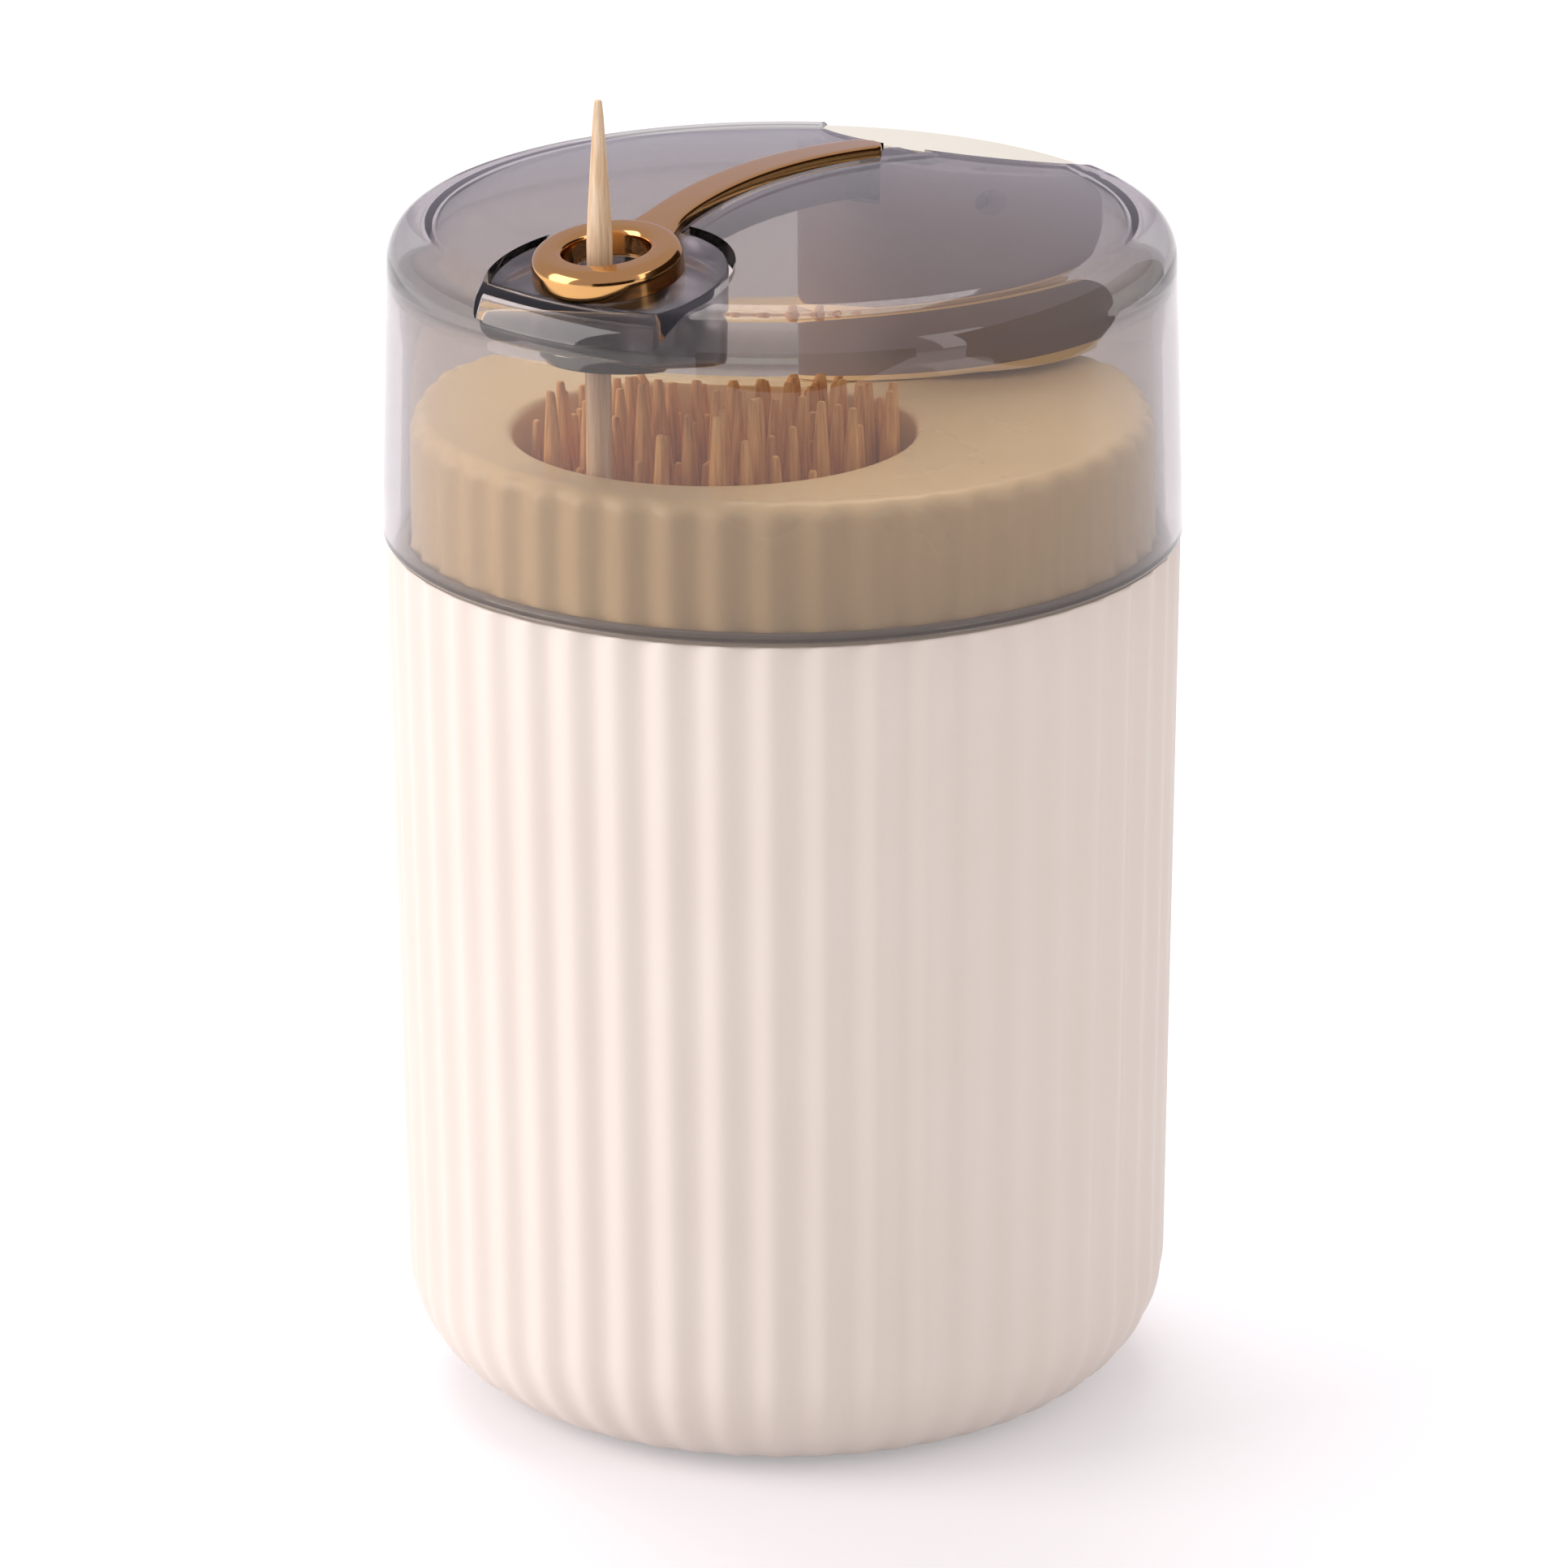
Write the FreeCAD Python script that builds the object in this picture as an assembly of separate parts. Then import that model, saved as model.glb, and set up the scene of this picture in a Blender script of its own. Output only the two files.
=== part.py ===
import FreeCAD, Part
import math
import os

V = FreeCAD.Vector

# Toothpick dispenser. Millimetres, +Z up, origin at the middle of the foot.
# -Y is the end with the pick hole, +Y the end with the press pad.

# Fluted outer body
FLUTES = 48
FOOT_PROUD = 0.3
BASE_FILLET = 11.2
BASE_REACH = 11.25
BODY_TOP_R = 34.75
BODY_FLARE = 1.0
BODY_TOP_Z = 78.0
BODY_WALL = 2.3
BODY_FLOOR = 2.9
FLUTE_DEPTH = 0.55
FLUTE_FADE_share = 0.25
ROUND_STEPS = 8
WAVE_STEPS = 4
INNER_CORNER = 8.5

# Non-slip ring under the foot
FOOT_RING_INSET = 2.2
FOOT_RING_WIDTH = 3.1
FOOT_RING_THICK = 1.2
FOOT_RING_GAP = 0.2

# Fluted collar
NECK_STEP = 2.25
NECK_RISE = 11.8
NECK_SHOULDER = 1.7
PLATE_THICK = 1.8
SPIGOT_GAP = 0.3
SPIGOT_WALL = 1.3
SPIGOT_DEPTH = 8.0
WELL_INSET = 15.2
WELL_MARGIN = 5.2
WELL_LIP = 0.8

# Pick cup, its floor and its screws
CUP_WALL = 1.4
CUP_FLANGE = 1.2
CUP_FLANGE_THICK = 1.4
CUP_LEDGE = 1.1
CUP_LEDGE_THICK = 1.2
CUP_FLOOR_THICK = 1.5
CUP_FLOOR_GAP = 0.1
CUP_SCREW_MARGIN = 5.3
CUP_SCREW_ANGLES = (30.0, 90.0, 150.0)
CUP_BOSS_R = 2.6
CUP_BOSS_DROP = 6.0
CUP_EAR_R = 2.9
CUP_EAR_THICK = 1.4
SCREW_R = 0.95
SCREW_HEAD_R = 1.9
SCREW_HEAD_THICK = 1.2
SCREW_GRIP = 4.6
SCREW_PILOT_GAP = 0.05
SCREW_PASS_GAP = 0.2
SCREW_SLOT = 0.5
SCREW_SLOT_DEPTH = 0.6

# Toothpicks
PICK_R = 1.1
PICK_LENGTH = 65.0
PICK_TAPER = 12.0
PICK_TIP_R = 0.35
PICK_GRID_LOW = 2.62
PICK_GRID_HIGH = 2.86
PICK_RISE = 8.5
PICK_SINK = 2.1
PICK_X = -0.6
PICK_FORE = 0.4
PICK_SHOWS = 12.8
PICK_ROOM = 0.9
FREE_X = -11.0
FREE_FORE = 7.0
FREE_HALF = 3.4
RISE_WAVE_shares = ((3.1, 1.7, 0.0), (5.3, -4.1, 1.0), (7.9, 9.7, 0.0))

# Lid
LID_SEAT = 0.3
LID_PROUD = 0.25
LID_DRAFT = 0.7
LID_WALL_RISE = 23.7
LID_WALL = 1.5
LID_ROOF = 1.8
LID_FILLET = 3.6
LID_INNER_FILLET = 4.5
LID_LIP = 0.35
DOME_R = 165.0
DOME_RISE = 7.2

# Gasket between the lid and the collar
GASKET_GAP = 0.1
GASKET_WIDTH = 2.0
GASKET_RISE = 0.6
GASKET_UPSTAND = 0.55

# Rocker: boss round the pick hole, rib, barrel and rear lever
TILT_ROOM = 0.45
TILT_BACK = 0.25
BOSS_INSET = 9.0
BOSS_R = 10.2
BOSS_EDGE_INSET = 2.6
BOSS_DEPTH = 8.0
BOSS_ROUND = 1.4
RIB_BOW_R = 65.0
RIB_BOW_X = -3.1
RIB_BOW_Y = -2.3
RIB_HALF = 2.1
RIB_DEPTH = 4.2
FLUSH_DROP = 0.3
PIVOT_FORE = 9.5
PIVOT_DEPTH = 5.2
PIN_R = 1.0
PIN_GAP = 0.04
PIN_CHAMFER = 0.2
BARREL_R = 1.9
BARREL_HALF = 4.5
LEVER_HALF = 7.5
LEVER_BACK = 1.8
LEVER_THICK = 1.6
LEVER_DROP = 0.8
LEVER_CORNER = 2.0
ARM_HOLE_R = 3.4

# Pick grip and guide funnel in the boss
GRIP_R = 4.5
GRIP_HOLE_R = 3.0
GRIP_THICK = 1.6
FUNNEL_R = 5.4
FUNNEL_SEAT = 1.6
FUNNEL_DROP = 1.5
FUNNEL_MOUTH_R = 4.6
FUNNEL_THROAT_R = 2.9
INSERT_GAP = 0.05

# Gold ring and tail
RING_R = 6.5
RING_HOLE_R = 3.7
RING_HEIGHT = 2.1
RING_SINK = 0.8
RING_ROUND = 1.0
RING_HOLE_ROUND = 0.7
RING_SEAT_GAP = 0.03
TAIL_HALF = 1.85
TAIL_RISE = 0.8
TAIL_TO_PIN = 1.8
TAIL_ROUND = 0.35

# Press pad
PAD_X = -1.5
PAD_BACK = 7.0
PAD_R = 14.4
PAD_DROP = 0.3
PAD_RIM_RISE = 0.6
PAD_NOTCH = 2.9
PAD_THICK = 2.2
PAD_GAP = 0.4
PAD_ROUND = 0.5
PAD_POST_R = 2.2
PAD_POST_X = 5.0
PAD_POST_FORE = 3.1
PAD_TRAVEL = 3.8

# Mechanism housing, cover and screws
HOUSING_R = 14.0
HOUSING_INSET = 7.8
HOUSING_RIM_INSET = 2.1
HOUSING_WALL = 1.4
HOUSING_CLEAR = 0.8
COVER_THICK = 2.2
HOUSING_ROOF_GAP = 0.1
EAR_IN = 4.9
EAR_THICK = 3.0
EAR_HALF = 2.6
EAR_DROP = 5.5
NOTCH_GAP = 0.7
COLUMN_R = 1.9
COLUMN_X = 9.9
COLUMN_BACK = 0.5
COLUMN_DEPTH = 8.8
FRONT_COLUMN_FORE = 10.5
FRONT_COLUMN_DEPTH = 11.2

# Return spring
SPRING_R = 2.4
SPRING_WIRE_R = 0.25
SPRING_TURNS = 6
SPRING_FORE = 0.5
SPRING_SEAT_GAP = 0.05
SPRING_POST_GAP = 0.35
SPRING_POST_RISE = 2.0

# Cuts run past their solids by this much, and edges are found within this height
OVERRUN = 2.0
EDGE_BAND = 0.01

# Places worked out from the sizes above
BODY_LOW_R = BODY_TOP_R - BODY_FLARE
FOOT_R = BODY_LOW_R - BASE_REACH
FOOT_RING_R = FOOT_R - FOOT_RING_INSET
NECK_R = BODY_TOP_R - NECK_STEP
NECK_TOP_Z = BODY_TOP_Z + NECK_RISE
NECK_IN_R = BODY_TOP_R - FLUTE_DEPTH - BODY_WALL - SPIGOT_GAP - SPIGOT_WALL
PLATE_UNDER_Z = NECK_TOP_Z - PLATE_THICK
WELL_R = NECK_R - WELL_INSET
WELL_Y = WELL_R + WELL_MARGIN - NECK_R
CUP_SCREW_OUT = WELL_R + CUP_SCREW_MARGIN
PICK_FLOOR_Z = NECK_TOP_Z - PICK_SINK - PICK_LENGTH
CUP_FLOOR_Z = PICK_FLOOR_Z - CUP_FLOOR_THICK
CUP_BOTTOM_Z = CUP_FLOOR_Z - CUP_LEDGE_THICK
FREE_Y = WELL_Y - FREE_FORE
LID_LOW_Z = BODY_TOP_Z + LID_SEAT
LID_LOW_R = BODY_TOP_R + LID_PROUD
LID_HIGH_R = LID_LOW_R - LID_DRAFT
LID_HIGH_Z = LID_LOW_Z + LID_WALL_RISE
DOME_TOP_Z = LID_HIGH_Z + DOME_RISE
DOME_Z = DOME_TOP_Z - DOME_R
BOSS_Y = BOSS_INSET - LID_HIGH_R
BOSS_CUT_R = LID_HIGH_R - BOSS_EDGE_INSET
BOSS_BOTTOM_Z = DOME_TOP_Z - BOSS_DEPTH
PICK_Y = BOSS_Y - PICK_FORE
PICK_TOP_Z = DOME_TOP_Z + PICK_SHOWS
HOUSING_Y = LID_HIGH_R - HOUSING_INSET
HOUSING_RIM_R = LID_HIGH_R - HOUSING_RIM_INSET
HOUSING_BOTTOM_Z = NECK_TOP_Z + HOUSING_CLEAR
COLUMN_Y = HOUSING_Y + COLUMN_BACK
COLUMN_TOP_Z = DOME_TOP_Z - COLUMN_DEPTH
FRONT_COLUMN_Y = HOUSING_Y - FRONT_COLUMN_FORE
FRONT_COLUMN_TOP_Z = DOME_TOP_Z - FRONT_COLUMN_DEPTH
SPRING_Y = HOUSING_Y - SPRING_FORE
PIVOT_Y = HOUSING_Y - PIVOT_FORE
PIVOT_Z = DOME_TOP_Z - PIVOT_DEPTH
LEVER_BACK_Y = HOUSING_Y + LEVER_BACK
LEVER_TOP_Z = PIVOT_Z - LEVER_DROP
PAD_Y = HOUSING_Y + PAD_BACK
PAD_RIM_Z = LID_HIGH_Z + PAD_RIM_RISE
PAD_NOTCH_Z = PAD_RIM_Z - PAD_NOTCH
PAD_POST_Y = HOUSING_Y - PAD_POST_FORE
TAIL_END_Y = PIVOT_Y - TAIL_TO_PIN
HOUSING_FLOOR_Z = HOUSING_BOTTOM_Z + COVER_THICK
FUNNEL_TOP_Z = BOSS_BOTTOM_Z + FUNNEL_SEAT
GRIP_TOP_Z = FUNNEL_TOP_Z + GRIP_THICK
LEVER_UNDER_Z = LEVER_TOP_Z - LEVER_THICK


def tube_solid(radius, low, high, x=0.0, y=0.0):
    """Upright cylinder between two heights."""
    return Part.makeCylinder(radius, high - low, V(x, y, low))


def box_solid(x0, x1, y0, y1, z0, z1):
    """Box between two corners."""
    return Part.makeBox(x1 - x0, y1 - y0, z1 - z0, V(x0, y0, z0))


def ring_solid(outer, inner, low, high, x=0.0, y=0.0):
    """Upright ring between two heights."""
    bore = tube_solid(inner, low - OVERRUN, high + OVERRUN, x, y)
    return tube_solid(outer, low, high, x, y).cut(bore)


def turned(points):
    """Solid turned about Z from a closed outline of (radius, height) points."""
    corners = [V(r, 0, z) for r, z in points]
    face = Part.Face(Part.makePolygon(corners + corners[:1]))
    return face.revolve(V(0, 0, 0), V(0, 0, 1), 360)


def one_solid(shape):
    """The single solid that a boolean left, cleaned of split faces."""
    solids = sorted(shape.removeSplitter().Solids, key=lambda s: s.Volume)
    return solids[-1]


def rounded_edges(shape, radius, wanted):
    """Shape with a fillet on each edge that the test accepts."""
    edges = [e for e in shape.Edges if wanted(e)]
    return shape.makeFillet(radius, edges) if edges else shape


def edge_at(z):
    """Test for edges that lie wholly at one height."""
    return lambda e: max(abs(e.BoundBox.ZMin - z), abs(e.BoundBox.ZMax - z)) < EDGE_BAND


def dome(offset):
    """Ball whose top is the lid's domed roof moved outwards by an offset."""
    return Part.makeSphere(DOME_R + offset, V(0, 0, DOME_Z))


def wave_wire(radius, depth, z):
    """Closed wavy outline, with its crests at the radius and a crest each flute."""
    points = []
    for k in range(FLUTES * WAVE_STEPS):
        angle = 2 * math.pi * k / (FLUTES * WAVE_STEPS)
        here = radius - depth / 2 * (1 + math.cos(FLUTES * angle))
        points.append(V(here * math.cos(angle), here * math.sin(angle), z))
    curve = Part.BSplineCurve()
    curve.interpolate(Points=points, PeriodicFlag=True)
    return Part.Wire(curve.toShape())


def outer_body():
    """Fluted cup whose flutes fade round the base."""
    wires = []
    for step in range(ROUND_STEPS):
        share = step / ROUND_STEPS
        turn = share * math.pi / 2
        radius = FOOT_R + (BODY_LOW_R - FOOT_R) * math.sin(turn)
        z = FOOT_PROUD + BASE_FILLET * (1 - math.cos(turn))
        depth = FLUTE_DEPTH * (FLUTE_FADE_share + (1 - FLUTE_FADE_share) * share)
        wires.append(wave_wire(radius, depth, z))
    wall_low = FOOT_PROUD + BASE_FILLET
    wires.append(wave_wire(BODY_LOW_R, FLUTE_DEPTH, wall_low))
    wires.append(wave_wire(BODY_TOP_R, FLUTE_DEPTH, BODY_TOP_Z))
    outside = Part.makeLoft(wires, True, True)
    in_top = BODY_TOP_R - FLUTE_DEPTH - BODY_WALL
    in_low = BODY_LOW_R - FLUTE_DEPTH - BODY_WALL
    floor = FOOT_PROUD + BODY_FLOOR
    slope = (in_top - in_low) / (BODY_TOP_Z - floor)
    above = BODY_TOP_Z + OVERRUN
    inside = turned([(0, floor), (in_low, floor), (in_top + slope * OVERRUN, above), (0, above)])
    inside = rounded_edges(inside, INNER_CORNER, edge_at(floor))
    groove = ring_solid(
        FOOT_RING_R + FOOT_RING_GAP,
        FOOT_RING_R - FOOT_RING_WIDTH - FOOT_RING_GAP,
        -OVERRUN,
        FOOT_RING_THICK,
    )
    return one_solid(outside.cut(inside).cut(groove))


def foot_ring():
    """Flat silicone ring that the dispenser stands on."""
    return ring_solid(FOOT_RING_R, FOOT_RING_R - FOOT_RING_WIDTH, 0, FOOT_RING_THICK)


def cup_screw_places():
    """Centres of the screws round the well."""
    places = []
    for angle in CUP_SCREW_ANGLES:
        turn = math.radians(angle)
        places.append((CUP_SCREW_OUT * math.cos(turn), WELL_Y + CUP_SCREW_OUT * math.sin(turn)))
    return places


def neck_collar():
    """Fluted collar: spigot in the body, top plate and well."""
    wall_top = NECK_TOP_Z - NECK_SHOULDER
    wires = [wave_wire(NECK_R, FLUTE_DEPTH, z) for z in (BODY_TOP_Z, wall_top)]
    for step in range(ROUND_STEPS):
        share = (step + 1) / ROUND_STEPS
        turn = share * math.pi / 2
        radius = NECK_R - NECK_SHOULDER * (1 - math.cos(turn))
        z = wall_top + NECK_SHOULDER * math.sin(turn)
        depth = FLUTE_DEPTH * (1 - (1 - FLUTE_FADE_share) * share)
        wires.append(wave_wire(radius, depth, z))
    collar = Part.makeLoft(wires, True, True)
    spigot_low = BODY_TOP_Z - SPIGOT_DEPTH
    collar = collar.fuse(tube_solid(NECK_IN_R + SPIGOT_WALL, spigot_low, BODY_TOP_Z + SPIGOT_WALL))
    collar = collar.cut(tube_solid(NECK_IN_R, spigot_low - OVERRUN, PLATE_UNDER_Z))
    boss_low = PLATE_UNDER_Z - CUP_BOSS_DROP
    for x, y in cup_screw_places():
        collar = collar.fuse(tube_solid(CUP_BOSS_R, boss_low, PLATE_UNDER_Z, x, y))
    collar = collar.cut(tube_solid(WELL_R, boss_low, NECK_TOP_Z + OVERRUN, 0, WELL_Y))
    pilot = SCREW_R + SCREW_PILOT_GAP
    for x, y in cup_screw_places():
        collar = collar.cut(tube_solid(pilot, boss_low - OVERRUN, boss_low + SCREW_GRIP, x, y))
    collar = one_solid(collar)
    lip = lambda e: edge_at(NECK_TOP_Z)(e) and e.BoundBox.XMax < NECK_IN_R - WELL_LIP
    return rounded_edges(collar, WELL_LIP, lip)


def pick_cup():
    """Tube under the well, with a flange, a ledge for its floor and three ears."""
    outer = WELL_R + CUP_WALL
    cup = tube_solid(outer, CUP_BOTTOM_Z, PLATE_UNDER_Z, 0, WELL_Y)
    flange_low = PLATE_UNDER_Z - CUP_FLANGE_THICK
    cup = cup.fuse(tube_solid(outer + CUP_FLANGE, flange_low, PLATE_UNDER_Z, 0, WELL_Y))
    ear_top = PLATE_UNDER_Z - CUP_BOSS_DROP
    for angle, (x, y) in zip(CUP_SCREW_ANGLES, cup_screw_places()):
        bar = Part.makeBox(CUP_SCREW_OUT, 2 * CUP_EAR_R, CUP_EAR_THICK, V(0, -CUP_EAR_R, 0))
        bar.rotate(V(0, 0, 0), V(0, 0, 1), angle)
        bar.translate(V(0, WELL_Y, ear_top - CUP_EAR_THICK))
        cup = cup.fuse(bar).fuse(tube_solid(CUP_EAR_R, ear_top - CUP_EAR_THICK, ear_top, x, y))
        cup = cup.cut(tube_solid(CUP_BOSS_R + SPIGOT_GAP, ear_top, PLATE_UNDER_Z + OVERRUN, x, y))
    for x, y in cup_screw_places():
        cup = cup.cut(tube_solid(SCREW_R + SCREW_PASS_GAP, ear_top - OVERRUN, ear_top + OVERRUN, x, y))
    cup = cup.cut(tube_solid(WELL_R, CUP_FLOOR_Z, PLATE_UNDER_Z + OVERRUN, 0, WELL_Y))
    hole = tube_solid(WELL_R - CUP_LEDGE, CUP_BOTTOM_Z - OVERRUN, CUP_FLOOR_Z + OVERRUN, 0, WELL_Y)
    return one_solid(cup.cut(hole))


def cup_floor():
    """Disc that stands on the cup's ledge and carries the picks."""
    return tube_solid(WELL_R - CUP_FLOOR_GAP, CUP_FLOOR_Z, PICK_FLOOR_Z, 0, WELL_Y)


def screw(x, y, head_top):
    """Pan-head screw driven upwards, with its head's flat at a height."""
    low = head_top - SCREW_HEAD_THICK
    shank = tube_solid(SCREW_R, head_top, head_top + SCREW_GRIP, x, y)
    head = tube_solid(SCREW_HEAD_R, low, head_top, x, y)
    head = rounded_edges(head, SCREW_HEAD_THICK / 2, edge_at(low))
    half = SCREW_SLOT / 2
    reach = SCREW_HEAD_R
    slot_top = low + SCREW_SLOT_DEPTH
    slot = box_solid(x - reach, x + reach, y - half, y + half, low - OVERRUN, slot_top)
    cross = box_solid(x - half, x + half, y - reach, y + reach, low - OVERRUN, slot_top)
    return one_solid(shank.fuse(head).cut(slot).cut(cross))


def cup_screws():
    """Three screws through the cup's ears into the collar."""
    under = PLATE_UNDER_Z - CUP_BOSS_DROP - CUP_EAR_THICK
    return Part.makeCompound([screw(x, y, under) for x, y in cup_screw_places()])


def toothpick(low):
    """Upright pick with two long blunt-tipped tapers, from a height upwards."""
    top = low + PICK_LENGTH
    outline = [
        (0, low),
        (PICK_TIP_R, low),
        (PICK_R, low + PICK_TAPER),
        (PICK_R, top - PICK_TAPER),
        (PICK_TIP_R, top),
        (0, top),
    ]
    return turned(outline)


def bundle_places():
    """Grid places of the picks as (column, row) steps, and how far each pick is raised."""
    room = WELL_R - PICK_R
    columns = int(room / PICK_GRID_HIGH) + 1
    row_step = math.sqrt(3) / 2
    places = []
    for row in range(-columns - 1, columns + 2):
        for column in range(-columns - 1, columns + 2):
            u = column + (row % 2) / 2
            v = row * row_step
            x = u * PICK_GRID_HIGH
            y = WELL_Y + v * PICK_GRID_HIGH
            if math.hypot(x, y - WELL_Y) > room - PICK_ROOM / 2:
                continue
            if math.hypot(x - PICK_X, y - PICK_Y) < 2 * PICK_R + PICK_ROOM:
                continue
            if abs(x - FREE_X) < FREE_HALF + PICK_R and abs(y - FREE_Y) < FREE_HALF + PICK_R:
                continue
            waves = sum(math.sin(a * u + b * v + c) for a, b, c in RISE_WAVE_shares)
            places.append((u, v, waves))
    lowest = min(p[2] for p in places)
    highest = max(p[2] for p in places)
    return [(u, v, (waves - lowest) / (highest - lowest)) for u, v, waves in places]


def toothpick_bundle():
    """Picks that stand in the cup and fan outwards a little."""
    picks = []
    for u, v, rise_share in bundle_places():
        foot = V(u * PICK_GRID_LOW, WELL_Y + v * PICK_GRID_LOW, PICK_FLOOR_Z)
        head = V(u * PICK_GRID_HIGH, WELL_Y + v * PICK_GRID_HIGH, PICK_FLOOR_Z + PICK_LENGTH)
        way = (head - foot).normalize()
        start = foot + way * (PICK_RISE * rise_share)
        pick = toothpick(0)
        pick.Placement = FreeCAD.Placement(start, FreeCAD.Rotation(V(0, 0, 1), way))
        picks.append(pick)
    return Part.makeCompound(picks)


def dispensed_toothpick():
    """Pick that the rocker has lifted, standing in the gold ring."""
    pick = toothpick(PICK_TOP_Z - PICK_LENGTH)
    pick.translate(V(PICK_X, PICK_Y, 0))
    return pick


def rim_gasket():
    """Soft ring under the lid's rim, with an upstand round the collar."""
    inner = NECK_R + GASKET_GAP
    flat = ring_solid(inner + GASKET_WIDTH, inner, BODY_TOP_Z, LID_LOW_Z)
    upstand = ring_solid(inner + GASKET_UPSTAND, inner, BODY_TOP_Z, LID_LOW_Z + GASKET_RISE)
    return one_solid(flat.fuse(upstand))


def lid_block(low_r, high_r, roof, fillet, low):
    """Solid form of the lid: a drafted wall under a dome, with a rounded shoulder."""
    slope = (high_r - low_r) / (LID_HIGH_Z - LID_LOW_Z)
    top = DOME_TOP_Z + OVERRUN
    low_here = low_r + slope * (low - LID_LOW_Z)
    block = turned([(0, low), (low_here, low), (high_r + slope * (top - LID_HIGH_Z), top), (0, top)])
    block = one_solid(block.common(dome(roof)))
    shoulder = lambda e: e.BoundBox.ZMin > LID_HIGH_Z and e.BoundBox.XLength > high_r
    return rounded_edges(block, fillet, shoulder)


def rib_band(half, front, back, low, high):
    """Upright band that follows the bow of the rib, between two places along Y."""
    x = RIB_BOW_X + RIB_BOW_R
    band = ring_solid(RIB_BOW_R + half, RIB_BOW_R - half, low, high, x, RIB_BOW_Y)
    return band.common(box_solid(RIB_BOW_X - RIB_BOW_R, -RIB_BOW_X + BOSS_R, front, back, low, high))


def pad_plan(grow, low, high):
    """Upright block with the pad's outline, grown by a gap."""
    return tube_solid(PAD_R + grow, low, high, PAD_X, PAD_Y)


def boss_plan(grow, low, high):
    """Upright block with the boss's outline, grown by a gap."""
    block = tube_solid(BOSS_R + grow, low, high, 0, BOSS_Y)
    return block.common(tube_solid(BOSS_CUT_R + grow, low, high))


def lid_shell():
    """Clear lid, open below, with the slot that the rocker moves in."""
    outside = lid_block(LID_LOW_R, LID_HIGH_R, 0, LID_FILLET, LID_LOW_Z)
    low_in = LID_LOW_R - LID_WALL
    high_in = LID_HIGH_R - LID_WALL
    inside = lid_block(low_in, high_in, -LID_ROOF, LID_INNER_FILLET, LID_LOW_Z - OVERRUN)
    lid = outside.cut(inside)
    low = BOSS_BOTTOM_Z - OVERRUN
    high = DOME_TOP_Z + OVERRUN
    swing = boss_plan(TILT_ROOM, low, high)
    lid = lid.cut(swing)
    swing.translate(V(0, TILT_BACK, 0))
    lid = lid.cut(swing)
    lid = lid.cut(rib_band(RIB_HALF + TILT_ROOM, BOSS_Y, PAD_Y - PAD_R + PAD_GAP, low, high))
    lid = lid.cut(pad_plan(PAD_GAP, PAD_NOTCH_Z, high))
    outer_rim = lambda e: edge_at(LID_LOW_Z)(e) and e.BoundBox.XMax > LID_LOW_R - LID_LIP
    return rounded_edges(one_solid(lid), LID_LIP, outer_rim)


def rocker_arm():
    """Clear see-saw: boss, rib, barrel on the pin and the lever under the pad."""
    low = BOSS_BOTTOM_Z
    high = DOME_TOP_Z + OVERRUN
    boss = one_solid(boss_plan(0, low, high).common(dome(-FLUSH_DROP)))
    boss = rounded_edges(boss, BOSS_ROUND, edge_at(low))
    rib = rib_band(RIB_HALF, BOSS_Y, PIVOT_Y + BARREL_R, low, high).common(dome(-FLUSH_DROP))
    rib = rib.cut(dome(-FLUSH_DROP - RIB_DEPTH))
    barrel = Part.makeCylinder(BARREL_R, 2 * BARREL_HALF, V(-BARREL_HALF, PIVOT_Y, PIVOT_Z), V(1, 0, 0))
    web_half = BARREL_HALF - PIN_R
    web = box_solid(-web_half, web_half, PIVOT_Y, PAD_POST_Y, LEVER_UNDER_Z, LEVER_TOP_Z)
    plate_front = PIVOT_Y + EAR_HALF + 2 * TILT_ROOM
    plate = box_solid(-LEVER_HALF, LEVER_HALF, plate_front, LEVER_BACK_Y, LEVER_UNDER_Z, LEVER_TOP_Z)
    upright = lambda e: e.BoundBox.ZLength > LEVER_THICK / 2 and e.BoundBox.XLength < PIN_R
    plate = rounded_edges(plate, LEVER_CORNER, upright)
    arm = boss.fuse(rib).fuse(barrel).fuse(web).fuse(plate)
    half = BARREL_HALF + OVERRUN
    pin_hole = Part.makeCylinder(PIN_R + PIN_GAP, 2 * half, V(-half, PIVOT_Y, PIVOT_Z), V(1, 0, 0))
    arm = arm.cut(pin_hole)
    arm = arm.cut(tube_solid(ARM_HOLE_R, low - OVERRUN, high, 0, BOSS_Y))
    arm = arm.cut(tube_solid(FUNNEL_R + INSERT_GAP, low - OVERRUN, FUNNEL_TOP_Z, 0, BOSS_Y))
    arm = arm.cut(tube_solid(GRIP_R + INSERT_GAP, low - OVERRUN, GRIP_TOP_Z, 0, BOSS_Y))
    pass_r = SCREW_R + SCREW_PASS_GAP
    for x in (-PAD_POST_X, PAD_POST_X):
        arm = arm.cut(tube_solid(pass_r, LEVER_UNDER_Z - OVERRUN, LEVER_TOP_Z + OVERRUN, x, PAD_POST_Y))
    return one_solid(arm)


def guide_funnel():
    """Funnel under the boss that leads a pick's tip to the hole."""
    low = BOSS_BOTTOM_Z - FUNNEL_DROP
    outline = [
        (FUNNEL_THROAT_R, FUNNEL_TOP_Z),
        (FUNNEL_MOUTH_R, low),
        ((FUNNEL_R + FUNNEL_MOUTH_R) / 2, low),
        (FUNNEL_R, low + FUNNEL_DROP / 2),
        (FUNNEL_R, FUNNEL_TOP_Z),
    ]
    funnel = turned(outline)
    funnel.translate(V(0, BOSS_Y, 0))
    return funnel


def pick_grip():
    """Soft ring above the funnel that holds a pick."""
    return ring_solid(GRIP_R, GRIP_HOLE_R, FUNNEL_TOP_Z, GRIP_TOP_Z, 0, BOSS_Y)


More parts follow.
